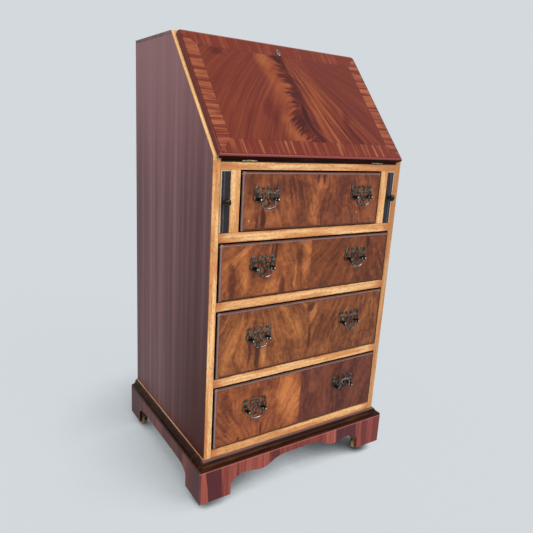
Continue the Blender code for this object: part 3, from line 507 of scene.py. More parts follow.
def lipping_finish(colours, seed, knee_z, shade):
    """The grain of a lipping runs up the front and then along the slant; shade is how much it is darkened."""
    f = Finish("lipping_%d" % seed, HONEY_ROUGHNESS)
    x, y, z = f.position()
    _, up, out = f.position(HINGE_LINE, (SLANT, 0, 0))
    above = z.over(knee_z)
    below = 1.0 - above
    grain = (z * below + up * above, x, y * below + out * above)
    rim = ragged_rim(f, grain, x.abs() * -1.0 + (HALF_W - 16 * MM), seed, NARROW_RIM) * below * 0.55
    # Painted shadow of the fall on the slant beside it
    wander = f.noise(grain, (30, 400, 400), seed + 3) * MM
    stain = (x.abs() + wander).rise(HALF_W - 5.2 * MM, HALF_W - 6.0 * MM)
    colour, height = honey_grain(f, seed, grain, colours, rim=rim.most(stain * above))
    # Painted highlight: the slant is lighter than the front
    colour = f.blend(above * 0.45, colour, lean(colours.honey_light, 1.1, 1.1, 1.0))
    return honey_done(f, f.blend(shade, colour, lean(colours.honey_dark, 0.55, 0.48, 0.5)), height)


# Each drawer's figure. The lines of a half radiate from a point (across, up) in its face's frame, or run
# the other way where the point lies below. Then the swirl of the figure, the tints of the two halves, how
# plain the joint is, and the dark marks and the light ones as (across, up, half width, half height, share)
DRAWER_FIGURES = {
    1: dict(left=(-0.13, 0.24), right=(0.05, 0.26), swirl=1.8, left_tint=(1.0, 0.90, 0.92),
            right_tint=(1.06, 0.94, 1.06), joint=0.15,
            marks=((-0.136, -0.034, 0.005, 0.022, 0.9), (-0.150, -0.046, 0.003, 0.012, 0.6),
                   (-0.070, 0.030, 0.040, 0.020, 0.3), (0.001, 0.046, 0.0035, 0.010, 0.7),
                   (0.017, 0.046, 0.0035, 0.010, 0.7), (0.055, -0.012, 0.020, 0.040, 0.2),
                   (0.075, 0.03, 0.04, 0.02, 0.15)),
            lights=((0.008, 0.034, 0.018, 0.014, 0.6), (0.000, -0.020, 0.012, 0.034, 0.5),
                    (-0.10, -0.035, 0.04, 0.018, 0.3), (-0.185, 0.0, 0.010, 0.04, 0.5))),
    2: dict(left=(-0.105, 0.11), right=(0.145, 0.13), swirl=0.9, left_tint=(1.20, 1.12, 1.02),
            right_tint=(0.80, 0.68, 0.64), joint=1.0,
            marks=((-0.098, 0.040, 0.004, 0.024, 1.0), (-0.107, 0.040, 0.003, 0.020, 0.7),
                   (-0.075, -0.040, 0.006, 0.020, 0.8), (-0.200, -0.020, 0.008, 0.040, 0.5),
                   (0.165, 0.045, 0.006, 0.018, 0.7), (-0.030, 0.020, 0.020, 0.014, 0.4)),
            lights=((-0.014, 0.020, 0.012, 0.050, 0.8), (-0.042, -0.015, 0.003, 0.040, 0.7),
                    (-0.17, 0.0, 0.010, 0.050, 0.6), (-0.10, -0.040, 0.024, 0.016, 0.5),
                    (0.125, -0.025, 0.004, 0.020, 0.5))),
    3: dict(left=(-0.14, 0.20), right=(0.20, 0.34), swirl=2.6, left_tint=(1.16, 1.17, 1.04),
            right_tint=(0.96, 0.93, 0.86), joint=0.15,
            marks=((-0.130, -0.036, 0.006, 0.032, 0.9), (-0.150, -0.030, 0.004, 0.024, 0.6),
                   (0.010, 0.055, 0.010, 0.010, 0.6), (0.012, -0.020, 0.004, 0.030, 0.6),
                   (0.060, 0.0, 0.030, 0.040, 0.3)),
            lights=((-0.18, 0.0, 0.03, 0.05, 0.4), (0.020, 0.040, 0.008, 0.020, 0.9),
                    (-0.115, -0.040, 0.006, 0.030, 0.6), (-0.04, 0.010, 0.03, 0.03, 0.4))),
    4: dict(left=(-0.120, -0.16), right=(0.10, -0.60), swirl=1.1, left_tint=(1.20, 1.04, 0.96),
            right_tint=(0.58, 0.46, 0.72), joint=1.0,
            marks=((-0.109, -0.056, 0.0020, 0.016, 2.2), (-0.168, -0.066, 0.0025, 0.008, 1.6),
                   (-0.205, 0.0, 0.014, 0.06, 0.2), (-0.125, 0.035, 0.014, 0.024, 0.2)),
            lights=((-0.030, 0.010, 0.030, 0.060, 0.9), (-0.075, 0.020, 0.030, 0.020, 0.4),
                    (0.035, 0.020, 0.018, 0.012, 0.5))),
}


def marked(tone, x, h, marks, weight):
    """A tone with soft oval marks laid on it, each (across, up, half width, half height, share)."""
    for at_x, at_h, wide, tall, share in marks:
        across = (x - at_x) / wide
        up = (h - at_h) / tall
        tone = tone + (across * across + up * up).rise(2.0, 0.0) * (share * weight)
    return tone


def on_front(f, low, high):
    """The fields across a drawer front, up it and out of it, from its middle."""
    middle = (low + high) / 2
    return f.position((middle.x, low.y, middle.z), (math.radians(90), 0, 0))


def walnut_field(colours, number, low, high):
    """Figured walnut of one drawer front, in the frame of its face."""
    figure = DRAWER_FIGURES[number]
    f = Finish("walnut_%d" % number, 0.40)
    x, h, out = on_front(f, low, high)
    seed = 11.0 * number
    warp = f.noise((x, h, out), (7, 11, 9), seed, detail=3) - 0.5
    right = (x + warp * MM).over(0.0)
    runs = [(x - at_x) / (at_h - h) * abs(at_h) for at_x, at_h in (figure["left"], figure["right"])]
    q = runs[0] + (runs[1] - runs[0]) * right + warp * 0.05
    broad = f.noise((q, h, right), (16, 6, 3), seed + 3, detail=4, distortion=figure["swirl"])
    streak = f.noise((q, h, right), (95, 10, 3), seed + 5, detail=5, distortion=0.5)
    fine = f.noise((q, h, right), (420, 26, 3), seed + 9, detail=3)
    mottle = f.noise((x, h, right), (75, 75, 3), seed + 13, detail=5, distortion=0.8)
    tone = broad * 0.28 + streak * 0.24 + fine * 0.24 + mottle * 0.24
    tone = marked(tone, x + warp * 0.02, h, figure["marks"], -0.22)
    tone = marked(tone, x + warp * 0.04, h, figure["lights"], 0.16)
    tones = (darker(colours.walnut_dark, 0.55), *tones_of(colours, "walnut"))
    colour = f.ramp(tone, even_stops(tones, 0.30, 0.68))
    tints = f.blend(right, figure["left_tint"], figure["right_tint"])
    colour = f.blend(1.0, colour, tints, "MULTIPLY")
    seam = x.abs().rise(0.8 * MM, HAIR) * figure["joint"]
    colour = f.blend(seam * 0.6, colour, darker(colours.walnut_dark, 0.5))
    rim = (x.abs() - (high.x - low.x) / 2).most(h.abs() - (high.z - low.z) / 2)
    grime = (rim + f.noise((x, h, out), (60, 60, 60), seed) * (10 * MM)).rise(-12 * MM, 3 * MM)
    colour = f.blend(grime * 0.18, colour, lean(colours.walnut_dark, 0.9, 0.8, 0.9))
    pores = f.noise((q, h, right), (1100, 110, 3), seed + 17, detail=1).rise(0.60, 0.70)
    colour = f.blend(pores * 0.35, colour, darker(colours.walnut_dark, 0.5))
    return f.done(colour, fine * 0.4 - pores - seam, 0.08 * MM, pores * 0.15 + fine * 0.06)


# Line of the fall's dark plume: its height up the fall and its place across, as shares of the fall's
# length and of the plume's sway
PLUME_SHARES = ((0.10, 0.72), (0.16, 0.62), (0.24, 0.52), (0.34, 0.45), (0.44, 0.53), (0.54, 0.57),
                (0.64, 0.57), (0.73, 0.50), (0.83, 0.48), (0.92, 0.46))
PLUME_SWAY = 100 * MM
# Widths of the fall's crossband at its sides and at its ends
BAND_SIDE = 35 * MM
BAND_END = 40 * MM
# Dark and light marks on the fall as (across, up, half width, half height, share)
FALL_MARKS = ((-0.168, 0.272, 0.016, 0.010, -0.14), (0.118, 0.116, 0.010, 0.018, -0.12),
              (0.104, 0.120, 0.007, 0.012, 0.08), (-0.058, 0.268, 0.018, 0.020, 0.12),
              (-0.052, 0.056, 0.020, 0.020, 0.10), (-0.085, 0.120, 0.016, 0.030, -0.08))


def flame_finish(colours, length, half, mould):
    """Flame mahogany framed by a crossband, in the fall's own frame."""
    f = Finish("flame_mahogany", 0.36, gloss=0.12)
    x, u, out = f.position(HINGE_LINE, (SLANT, 0, 0))
    wander = f.noise((x, u, out), (12, 14, 1), 3, detail=4) - 0.5
    plume = (f.curve(u / length, PLUME_SHARES) - 0.5) * PLUME_SWAY
    aside = x - plume + wander * 0.012
    off = aside.abs()
    right = aside.rise(-0.003, 0.003)
    left = 1.0 - right
    low_down = u.rise(length * 0.85, length * 0.15)
    # Hairs leave the plume level on its left, drooping lower down, and run down from it on its right
    hair_run = u + off * (left * (low_down * 0.7 - 0.15) + right * 1.7) + wander * 0.04
    tuft = f.noise((hair_run, off, right), (90, 10, 5), 5, detail=3)
    hairs = f.noise((hair_run, off, right), (420, 15, 5), 9, detail=4)
    spread = low_down * 0.010 + tuft.rise(0.34, 0.62) * 0.009 + hairs.rise(0.36, 0.60) * 0.010
    heart = (off - (left * 0.9 + 0.6) * spread).rise(9.5 * MM, -5.5 * MM)
    inner = f.noise((aside, u, right), (430, 24, 5), 45, detail=2).rise(0.46, 0.62)
    wisps = f.noise((hair_run + off * 0.25 * left, off, right), (620, 26, 5), 13, detail=3)
    feather = (tuft * 0.25 + hairs * 0.40 + wisps * 0.35).rise(0.46, 0.56) * off.rise(0.052, 0.006)
    bright_hair = hairs.rise(0.48, 0.38) * off.rise(0.065, 0.008) * (1.0 - heart * 0.7)
    # Long lines: up the left side leaning inwards, and fanning out on the right from above the plume
    fan = x / (length + 0.012 - u) + wander * 0.035
    left_run = x.abs() + u * 0.3 + u * u * 1.3 + wander * 0.010
    run = left_run + (fan * 0.2 - left_run) * right
    broad = f.noise((run, u, right), (26, 4.0, 5), 21, detail=3) - 0.5
    streak = f.noise((run, u, right), (105, 4.5, 5), 27, detail=4) - 0.5
    fine = f.noise((run, u, right), (430, 9, 5), 33, detail=3) - 0.5
    near_fan = fan.rise(0.80, 0.35) * right
    waves = f.sum_of("SINE", fan * 80.0 + broad * 9.0) * fan.rise(0.20, 0.27) * near_fan
    lines = ((fan - 0.235).abs().rise(0.022, 0.004) + (fan - 0.305).abs().rise(0.012, 0.003) * 0.5) * right
    tone = broad * (near_fan * 0.8 + 0.25) + streak * (near_fan * 0.9 + 0.30) + fine * 0.34 + 0.42
    patch = f.noise((hair_run, off, right), (26, 20, 5), 39, detail=3)
    glow = off.rise(0.080, 0.046) * (patch.rise(0.30, 0.62) * 0.75 + 0.25) * (1.0 - right * 0.55)
    tone = tone + waves * 0.085 + lines * 0.26 + glow * 0.25 + bright_hair * 0.12 - feather * 0.24 + left * 0.03
    tone = tone - heart * 0.34 + heart * inner * 0.14
    tone = marked(tone, x + wander * 0.02, u, FALL_MARKS, 1.0)
    tones = (colours.flame_dark, lean(colours.flame, 0.55, 0.42, 0.45), colours.flame, colours.flame_bright,
             colours.flame_light)
    field = f.ramp(tone, tuple(zip((0.02, 0.24, 0.42, 0.62, 0.84), tones)))
    # Crossband: across the sides its stripes run along X, at the top and bottom up the fall
    to_side = (x.abs() - (half - BAND_SIDE)) / BAND_SIDE
    to_end = ((BAND_END - u) / BAND_END).most((u - (length - BAND_END)) / BAND_END)
    sideways = to_side.over(to_end)
    stripe_run = x + (u - x) * sideways + wander * 0.004
    stripe_along = u + (x - u) * sideways
    wide_stripe = f.noise((stripe_run, stripe_along, sideways), (95, 5, 3), 71, detail=1)
    thin_stripe = f.noise((stripe_run, stripe_along, sideways), (250, 9, 3), 83, detail=2)
    stripe = (wide_stripe * 0.55 + thin_stripe * 0.45 + sideways * 0.06).rise(0.48, 0.64)
    top_calm = 1.0 - u.rise(length * 0.80, length * 0.88) * (1.0 - sideways) * 0.65
    band = f.blend(stripe * top_calm, colours.band_dark, colours.band_light)
    cloud = f.noise((stripe_run, stripe_along, sideways), (14, 14, 3), 91, detail=3).rise(0.34, 0.66)
    band = f.blend(cloud * 0.35, band, lean(colours.band_dark, 0.8, 0.7, 0.8))
    deep = to_side.most(to_end)
    joint = deep.abs().rise(0.030, 0.008).most((to_side - to_end).abs().rise(0.03, 0.01) * deep.over(0.0))
    band_share = deep.rise(-0.01, 0.01)
    colour = f.blend(band_share, field, band)
    colour = f.blend(joint * 0.3, colour, colours.flame_dark)
    # Painted highlight: a lighter band along the top of the field, under the top moulding
    crest = u.rise(length - mould - 2.6 * MM, length - mould - 0.6 * MM)
    colour = f.blend(crest * 0.45, colour, colours.band_light)
    brink = (half - mould - x.abs()).least(u - mould + 1.6 * MM)
    colour = f.blend(brink.rise(0.0020, 0.0006) * 0.65, colour, darker(colours.flame_dark, 0.6))
    fine, pores = fibres(f, (u, x, out), 5)
    colour = f.blend(pores * 0.3, colour, darker(colours.flame_dark, 0.7))
    return f.done(colour, fine * 0.4 - pores - joint, 0.06 * MM, pores * 0.12 + fine * 0.05)


class Stain(Finish):
    """A stained finish, rubbed thin here and there."""

    def start(self, grain, base, worn, share=0.7, grit=(200, 260, 700), flecks=0.0):
        self.rub = self.noise(grain, (14, 90, 90), 3, detail=4).rise(0.48, 0.70)
        self.fine = self.noise(grain, grit, 5, detail=3)
        colour = self.blend(self.rub * share, base, worn)
        if flecks:
            colour = self.blend(self.fine.rise(0.40, 0.68) * flecks, colour, darker(base, 0.5))
        return colour

    def end(self, colour):
        return self.done(colour, self.fine - self.rub * 0.3, 0.08 * MM, (self.fine - 0.5) * 0.2)


def stained_finish(name, base, worn, roughness, gloss):
    f = Stain(name, roughness, gloss=gloss)
    return f.end(f.start(f.position(), base, worn, flecks=0.3))


def moulding_finish(colours, low_z, high_z):
    """Dark stain, with a painted highlight along the top of the moulding, strongest on its front."""
    f = Stain("moulding_stain", 0.34, gloss=0.10)
    x, y, z = f.position()
    colour = f.start((x, y, z), colours.moulding, colours.moulding_worn, flecks=0.3)
    tall = high_z - low_z
    # Painted highlight along the top of the moulding, strongest on its front
    painted_highlight = z.rise(low_z + tall * 0.82, low_z + tall * 0.95) * (y.rise(FRONT_Y + 4 * MM, FRONT_Y) * 0.45 + 0.1)
    return f.end(f.blend(painted_highlight, colour, colours.moulding_highlight))


def fall_edge_finish(colours, mould):
    """Red-brown stain on the fall's moulded edge, with a painted highlight along the foot."""
    f = Stain("fall_edge", 0.32, gloss=0.2)
    x, u, out = f.position(HINGE_LINE, (SLANT, 0, 0))
    colour = f.start((x, u, out), colours.fall_edge, lean(colours.fall_edge, 1.4, 1.3, 1.2), 0.5)
    # Painted highlight along the round of the foot
    foot = u.rise(mould + 2 * MM, mould)
    return f.end(f.blend(foot * 0.85, colour, lean(colours.fall_edge, 2.0, 2.1, 2.2)))


def drawer_edge_finish(colours, number, low, high, width):
    """Dark stain on a front's rounded edge, with a painted highlight along the top's crest and up the left side.
    """
    f = Stain("drawer_edge_%d" % number, 0.28, gloss=0.35)
    x, h, out = on_front(f, low, high)
    colour = f.start((x, h, out), colours.edge, lean(colours.edge, 1.5, 1.3, 1.1), grit=(90, 90, 700))
    from_top = (high.z - low.z) / 2 - h
    from_left = x + (high.x - low.x) / 2
    # Painted highlight along the top's crest and up the left side
    crest = from_top.rise(width - 2.0 * MM, width - 0.8 * MM) * from_top.rise(width + 3 * MM, width + MM)
    left = from_left.rise(0.5 * MM, 1.6 * MM) * from_left.rise(width + 3 * MM, width + MM)
    painted_highlight = (crest * 0.9).most(left * 0.7) * (f.fine * 0.5 + 0.6)
    return f.end(f.blend(painted_highlight, colour, colours.edge_polish))


# Veneer pieces on the plinth's front as (centre, half width, share of tone)
PLINTH_STRIPES = ((-0.260, 0.011, 0.20), (-0.231, 0.018, -0.20), (-0.190, 0.020, 0.05), (-0.151, 0.017, 0.15),
                  (-0.108, 0.024, 0.13), (-0.068, 0.014, -0.08), (0.102, 0.016, 0.20), (0.152, 0.032, -0.18),
                  (0.196, 0.010, 0.10), (0.215, 0.009, -0.08), (0.246, 0.018, 0.03))


def plinth_finish(colours):
    """Veneer laid in upright pieces of unlike tone, with the grain up the plinth."""
    f = Finish("plinth_veneer", 0.42)
    x, y, z = f.position()
    front = y.rise(FRONT_Y - 12 * MM, FRONT_Y - 15 * MM)
    slant = x + z * 0.10 + (f.noise((x, z, y), (30, 30, 0), 3) - 0.5) * 0.004
    pieces = front * 0.17
    for centre, wide, share in PLINTH_STRIPES:
        pieces = pieces + (slant - (centre + 0.006)).abs().rise(wide + 0.0012, wide - 0.0012) * front * share
    run = x + y
    sway = f.noise((run, z, x), (8, 10, 0), 5, detail=2) * 0.02
    at = (run + sway) * 31.0
    board = f.sum_of("FLOOR", at)
    within = at - board
    shade = Field(f, f.node("TexWhiteNoise", [("W", board)], noise_dimensions="1D").outputs["Value"])
    streak = f.noise((run, z, x), (150, 4, 0), 15, detail=4)
    tone = shade * (front * -0.34 + 0.46) + (within - 0.5) * (front * -0.10 + 0.16)
    tone = tone + streak * 0.46 + 0.04 + pieces
    colour = f.ramp(tone, even_stops(tones_of(colours, "plinth"), 0.30, 0.74))
    fine, pores = fibres(f, (z, run, x), 7)
    colour = f.blend(fine * 0.25, colour, darker(colours.plinth_dark, 0.7))
    colour = f.blend(pores * 0.4, colour, darker(colours.plinth_dark, 0.5))
    # Painted shade: the side boards are darker than the front
    side = x.abs().over(HALF_W + 15 * MM)
    colour = f.blend(side * 0.55, colour, darker(colours.plinth_dark, 0.8))
    # Painted highlight along the top edge of the front
    crest = z.rise(CARCASE_Z - 3.4 * MM, CARCASE_Z - 2.0 * MM) * front
    colour = f.blend(crest * 0.6, colour, lean(colours.plinth_light, 1.05, 1.15, 1.35))
    return f.done(colour, fine * 0.5 - pores, 0.10 * MM, fine * 0.08)


def ebony_finish(colours, top_z):
    """Black stain with a lighter rubbed line, and bare wood along the top and the upper outer edge."""
    f = Finish("ebonised", 0.34)
    x, y, z = f.position()
    low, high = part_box("right_loper")
    centre = (low.x + high.x) / 2
    half = (high.x - low.x) / 2
    line = (x.abs() - (centre + half * 0.24)).abs().rise(0.0018, 0.0008)
    fleck = f.noise((x, y, z), (500, 500, 90), 3, detail=4)
    colour = f.blend(line * 0.6, colours.ebony, colours.ebony_worn)
    colour = f.blend(fleck.rise(0.56, 0.70) * 0.4, colour, colours.ebony_worn)
    chip = f.noise((x, y, z), (160, 160, 120), 8, detail=3)
    to_edge = (z - top_z).most(x.abs() - centre - half)
    chips = (to_edge + chip * 0.0016 + 0.0018).rise(-0.0002, 0.0006)
    front = y.rise(low.y + 2.0 * MM, low.y + 1.0 * MM)
    colour = f.blend(chips * front * 0.9, colour, lean(colours.honey_light, 0.7, 0.75, 0.9))
    return f.done(colour, fleck, 0.10 * MM, (fleck - 0.5) * 0.3)


# Metals

def metal_finish(name, base, bright, roughness, scale=90.0, share=(0.44, 0.66), seed=3.0):
    """Cast metal: patina, brighter where it is rubbed, with fine pits."""
    f = Finish(name, roughness, metallic=0.9)
    grain = f.position()
    cloud = f.noise(grain, (scale, scale, scale), seed, detail=4)
    pits = f.noise(grain, (900, 900, 900), seed + 5, detail=2)
    rub = (cloud * 0.7 + pits * 0.3).rise(*share)
    colour = f.blend(rub, base, bright)
    return f.done(colour, pits - cloud * 0.4, 0.12 * MM, (pits - 0.5) * 0.35 - rub * 0.10)


# Shapes

def smooth_line(points, steps):
    """A smooth line through points, with even steps from each to the next."""
    line = []
    ends = [points[0]] + list(points) + [points[-1]]
    for a, b, c, d in zip(ends, ends[1:], ends[2:], ends[3:]):
        a, b, c, d = Vector(a), Vector(b), Vector(c), Vector(d)
        for i in range(steps):
            t = i / steps
            line.append(0.5 * (2 * b + (c - a) * t + (2 * a - 5 * b + 4 * c - d) * t * t
                               + (3 * b - a - 3 * c + d) * t * t * t))
    return line + [Vector(points[-1])]


def mesh_of(bm, name="shape"):
    mesh = bpy.data.meshes.new(name)
    bm.to_mesh(mesh)
    bm.free()
    return mesh


def add_mesh(bm, mesh):
    bm.from_mesh(mesh)
    bpy.data.meshes.remove(mesh)


def applied(obj):
    """The shape of an object as its modifiers leave it; the object is removed."""
    graph = bpy.context.evaluated_depsgraph_get()
    mesh = bpy.data.meshes.new_from_object(obj.evaluated_get(graph))
    bpy.data.objects.remove(obj, do_unlink=True)
    bm = bmesh.new()
    add_mesh(bm, mesh)
    bmesh.ops.remove_doubles(bm, verts=bm.verts, dist=MERGE_DIST)
    return bm


def temporary(name, data):
    obj = bpy.data.objects.new(name, data)
    bpy.context.scene.collection.objects.link(obj)
    return obj


def flat_shape(outlines, thickness, edge=0.0, fineness=6):
    """A flat shape about the XY plane. A point of an outline is (x, y), or (x, y, True) at a sharp corner."""
    curve = bpy.data.curves.new("outline", "CURVE")
    curve.dimensions = "2D"
    curve.fill_mode = "BOTH"
    curve.extrude = thickness / 2 - edge
    curve.bevel_depth = edge
    curve.bevel_resolution = 1
    curve.offset = -edge
    curve.resolution_u = fineness
    for outline in outlines:
        spline = curve.splines.new("BEZIER")
        spline.bezier_points.add(len(outline) - 1)
        for point, place in zip(spline.bezier_points, outline):
            point.co = (place[0], place[1], 0)
            kind = "VECTOR" if len(place) == 3 else "AUTO"
            point.handle_left_type = kind
            point.handle_right_type = kind
        spline.use_cyclic_u = True
    return applied(temporary("outline", curve))


def mirrored(outline):
    """A half outline that starts and ends on the middle line, made whole."""
    return list(outline) + [(-p[0], *p[1:]) for p in reversed(outline[1:-1])]


def box_shape(low, high):
    bm = bmesh.new()
    bmesh.ops.create_cube(bm, size=1)
    bmesh.ops.scale(bm, vec=[b - a for a, b in zip(low, high)], verts=bm.verts)
    bmesh.ops.translate(bm, vec=[(a + b) / 2 for a, b in zip(low, high)], verts=bm.verts)
    return bm


def rod_shape(start, end, radius, sides):
    start, end = Vector(start), Vector(end)
    line = end - start
    place = Matrix.Translation((start + end) / 2) @ line.to_track_quat("Z", "Y").to_matrix().to_4x4()
    bm = bmesh.new()
    bmesh.ops.create_cone(bm, cap_ends=True, segments=sides, radius1=radius, radius2=radius, depth=line.length,
                          matrix=place)
    return bm


def turned(profile, sides):
    """A profile of (radius, along) points spun about Z, from one end of the axis to the other."""
    bm = bmesh.new()
    points = [bm.verts.new((radius, 0, along)) for radius, along in profile]
    edges = [bm.edges.new(pair) for pair in zip(points, points[1:])]
    bmesh.ops.spin(bm, geom=points + edges, axis=(0, 0, 1), cent=(0, 0, 0), angle=2 * math.pi, steps=sides,
                   use_merge=True)
    bmesh.ops.remove_doubles(bm, verts=bm.verts, dist=MERGE_DIST)
    bmesh.ops.recalc_face_normals(bm, faces=bm.faces)
    return bm


def domed_head(radius, heights, sides):
    """A small head; its heights, in millimetres, are those of its foot, rim, shoulder and crown."""
    foot, rim, shoulder, crown = (height * MM for height in heights)
    return turned([(0, foot), (radius, foot), (radius, rim), (radius * 0.6, shoulder), (0, crown)], sides)


def tube(points, radii, sides):
    """A round bar along points in the XZ plane."""
    flat = Vector((0, 1, 0))
    bm = bmesh.new()
    ring = bmesh.ops.create_circle(bm, segments=sides, radius=1, cap_ends=True)["verts"]
    face = ring[0].link_faces[0]
    shape = [vert.co.copy() for vert in face.verts]
    for i, (point, radius) in enumerate(zip(points, radii)):
        before, after = points[max(i - 1, 0)], points[min(i + 1, len(points) - 1)]
        run = (after - before).normalized()
        aside = run.cross(flat).normalized()
        if i:
            grown = bmesh.ops.extrude_discrete_faces(bm, faces=[face])
            face = grown["faces"][0]
        for vert, (a, b, _) in zip(face.verts, shape):
            vert.co = point + (flat * a + aside * b) * radius
    bmesh.ops.recalc_face_normals(bm, faces=bm.faces)
    return bm


def carved(bm, cuts=(), joins=()):
    """A closed shape after other closed shapes are joined to it and then cut from it."""
    obj = temporary("carved", mesh_of(bm))
    tools = []
    for operation, shapes in (("UNION", joins), ("DIFFERENCE", cuts)):
        for shape in shapes:
            bmesh.ops.recalc_face_normals(shape, faces=shape.faces)
            tools.append(temporary("tool", mesh_of(shape)))
            mod = obj.modifiers.new("tool", "BOOLEAN")
            mod.operation = operation
            mod.solver = "EXACT"
            mod.object = tools[-1]
    result = applied(obj)
    for tool in tools:
        bpy.data.objects.remove(tool, do_unlink=True)
    return result


def turn_to(bm, place):
    bmesh.ops.transform(bm, matrix=place, verts=bm.verts)
    return bm


def add_shape(bm, shape, place):
    """Adds a second shape to a first, moved to its place."""
    add_mesh(bm, mesh_of(turn_to(shape, place)))


def moulded_board(outline, low, high, profile):
    """A board in the XY plane whose upper edge is worked to a profile of (inward, upward) steps."""
    bm = bmesh.new()
    face = bm.faces.new([bm.verts.new((x, y, low)) for x, y in outline])
    total = sum(step[1] for step in profile)
    grown = bmesh.ops.extrude_face_region(bm, geom=[face])
    top = next(part for part in grown["geom"] if isinstance(part, bmesh.types.BMFace))
    bmesh.ops.translate(bm, vec=(0, 0, high - total - low), verts=top.verts)
    bmesh.ops.recalc_face_normals(bm, faces=bm.faces)
    for inward, upward in profile:
        bmesh.ops.inset_region(bm, faces=[top], thickness=inward, depth=upward, use_even_offset=True,
                               use_boundary=True)
    bmesh.ops.recalc_face_normals(bm, faces=bm.faces)
    return bm


def round_steps(width, height, count):
    """Steps of a quarter round from an upright edge to a level face."""
    angles = [math.pi / 2 * i / count for i in range(count + 1)]
    points = [(width * (1 - math.cos(a)), height * math.sin(a)) for a in angles]
    return [(b[0] - a[0], b[1] - a[1]) for a, b in zip(points, points[1:])]


def swept_round(profile):
    """A closed profile of (out, height) carried round the left side, the front and the right side, mitred."""
    wall = HALF_W + GAP
    front = FRONT_Y - GAP
    bm = bmesh.new()
    first = bm.faces.new([bm.verts.new((-wall - out, BACK_Y, height)) for out, height in profile])
    turns = (
        lambda co: (co.x, front - (-co.x - wall), co.z),
        lambda co: (-co.x, co.y, co.z),
        lambda co: (co.x, BACK_Y, co.z),
    )
    face = first
    for turn in turns:
        grown = bmesh.ops.extrude_face_region(bm, geom=[face])
        if face != first:
            bmesh.ops.delete(bm, geom=[face], context="FACES_ONLY")
        face = next(part for part in grown["geom"] if isinstance(part, bmesh.types.BMFace))
        for vert in face.verts:
            vert.co = turn(vert.co)
    return bm


def soften(obj, width, angle=40):
    """A worn edge on every sharp corner."""
    weld = obj.modifiers.new("weld", "WELD")
    weld.merge_threshold = MERGE_DIST * 5
    mod = obj.modifiers.new("worn_edge", "BEVEL")
    mod.width = width
    mod.segments = 2
    mod.limit_method = "ANGLE"
    mod.angle_limit = math.radians(angle)
    mod.use_clamp_overlap = True
    return obj


def piece(name, bm, node, materials, replaces=True, pick=None, angle=35, place=Matrix()):
    """A new piece on the body that carries a CAD node; pick gives each face its place among the materials."""
    bmesh.ops.remove_doubles(bm, verts=bm.verts, dist=MERGE_DIST)
    bmesh.ops.recalc_face_normals(bm, faces=bm.faces)
    bm.normal_update()
    for face in bm.faces:
        face.material_index = pick(face) if pick else 0
    mesh = mesh_of(bm, name)
    for material in materials:
        mesh.materials.append(material)
    mesh.shade_smooth()
    mesh.set_sharp_from_angle(angle=math.radians(angle))
    mesh.transform(place)
    obj = temporary(name, mesh)
    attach(obj, BODY_OF[node])
    if replaces:
        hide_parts(node)
    return obj


def dress(node, material):
    NODES[node].material_slots[0].material = material
    return NODES[node]


def middle_of(node):
    low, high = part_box(node)
    return (low + high) / 2


def points_in(node, place):
    """A node's points in another frame."""
    back = place.inverted()
    return [back @ vert.co for vert in NODES[node].data.vertices]


def box_round(points):
    """The lowest and the highest corner of the box round some points."""
    return tuple(Vector([end(p[i] for p in points) for i in range(3)]) for end in (min, max))


def box_in(node, place):
    return box_round(points_in(node, place))


def seat_place(label):
    """Frame of a handle: on the drawer's face between the posts, with Z out of the face."""
    face_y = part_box(label + "_plate")[1].y
    pivot = Vector(JOINTS[label + "_bail_swing"]["pos_m"])
    return Matrix.Translation((pivot.x, face_y, pivot.z)) @ FACING


DRAWERS = ("drawer_1", "drawer_2", "drawer_3", "drawer_4")
HANDLES = [drawer + "_" + side for drawer in DRAWERS for side in ("left", "right")]
CASTORS = ("front_left", "front_right", "rear_left", "rear_right")


class BureauStep:
    """What the bureau's operators share."""

    bl_options = {"REGISTER", "UNDO"}

    @property
    def colours(self):
        return bpy.context.scene.bureau_colours

    @property
    def sizes(self):
        return bpy.context.scene.bureau_sizes


class BUREAU_OT_carcase(BureauStep, bpy.types.Operator):
    """Finish the carcase: sides, top, pale edges, rails, partitions, writing bed and the inside"""
    bl_idname = "bureau.carcase"
    bl_label = "Carcase"

    def execute(self, context):
        c = self.colours
        for seed, side in ((3, "left_side"), (19, "right_side")):
            soften(dress(side, side_mahogany(c, seed)), self.sizes.soft_edge)
        knee_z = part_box("writing_bed")[1].z
        for seed, node, shade in ((5, "left_lipping", 0.0), (23, "right_lipping", 0.5)):
            soften(dress(node, lipping_finish(c, seed, knee_z, shade)), self.sizes.soft_edge)
        top = wood_finish("top_mahogany", along_x, tones_of(c, "side"), 31, 0.42)
        soften(dress("top_board", top), self.sizes.soft_edge)
        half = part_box("dustboard_1")[1].x
        rail_back = FRONT_Y + 60 * MM
        for i, node in enumerate(("dustboard_1", "dustboard_2", "dustboard_3", "bottom_board")):
            dress(node, rail_finish("rail_%d" % i, c, 41 + 7 * i, node, rail_back, half))
        for seed, node in ((81, "left_partition"), (89, "right_partition")):
            dress(node, upright_finish(node, c, seed, node))
        dress("writing_bed", bed_finish(c, 97, knee_z))
        inside = tones_of(c, "inside")
        dress("back_panel", wood_finish("back_wood", along_z, inside, 103, 0.6, bands=(1.2, 20)))
        dress("pigeonholes", wood_finish("nest_wood", along_x, inside, 109, 0.5))
        self.strips(c)
        return {"FINISHED"}

    def strips(self, c):
        """Thin pale strips along the sides where they meet the moulding."""
        strip = honey_finish("strip_wood", c, 113, along_y)
        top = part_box("base_moulding")[1].z
        for side, name in ((-1, "left_strip"), (1, "right_strip")):
            xs = sorted((side * (HALF_W + GAP), side * (HALF_W + GAP + self.sizes.strip_w)))
            low = (xs[0], FRONT_Y + 2 * MM, top - 2 * MM)
            bm = box_shape(low, (xs[1], BACK_Y - GAP, top + self.sizes.strip_h))
            soften(piece(name, bm, "left_side", [strip], replaces=False), self.sizes.soft_edge)


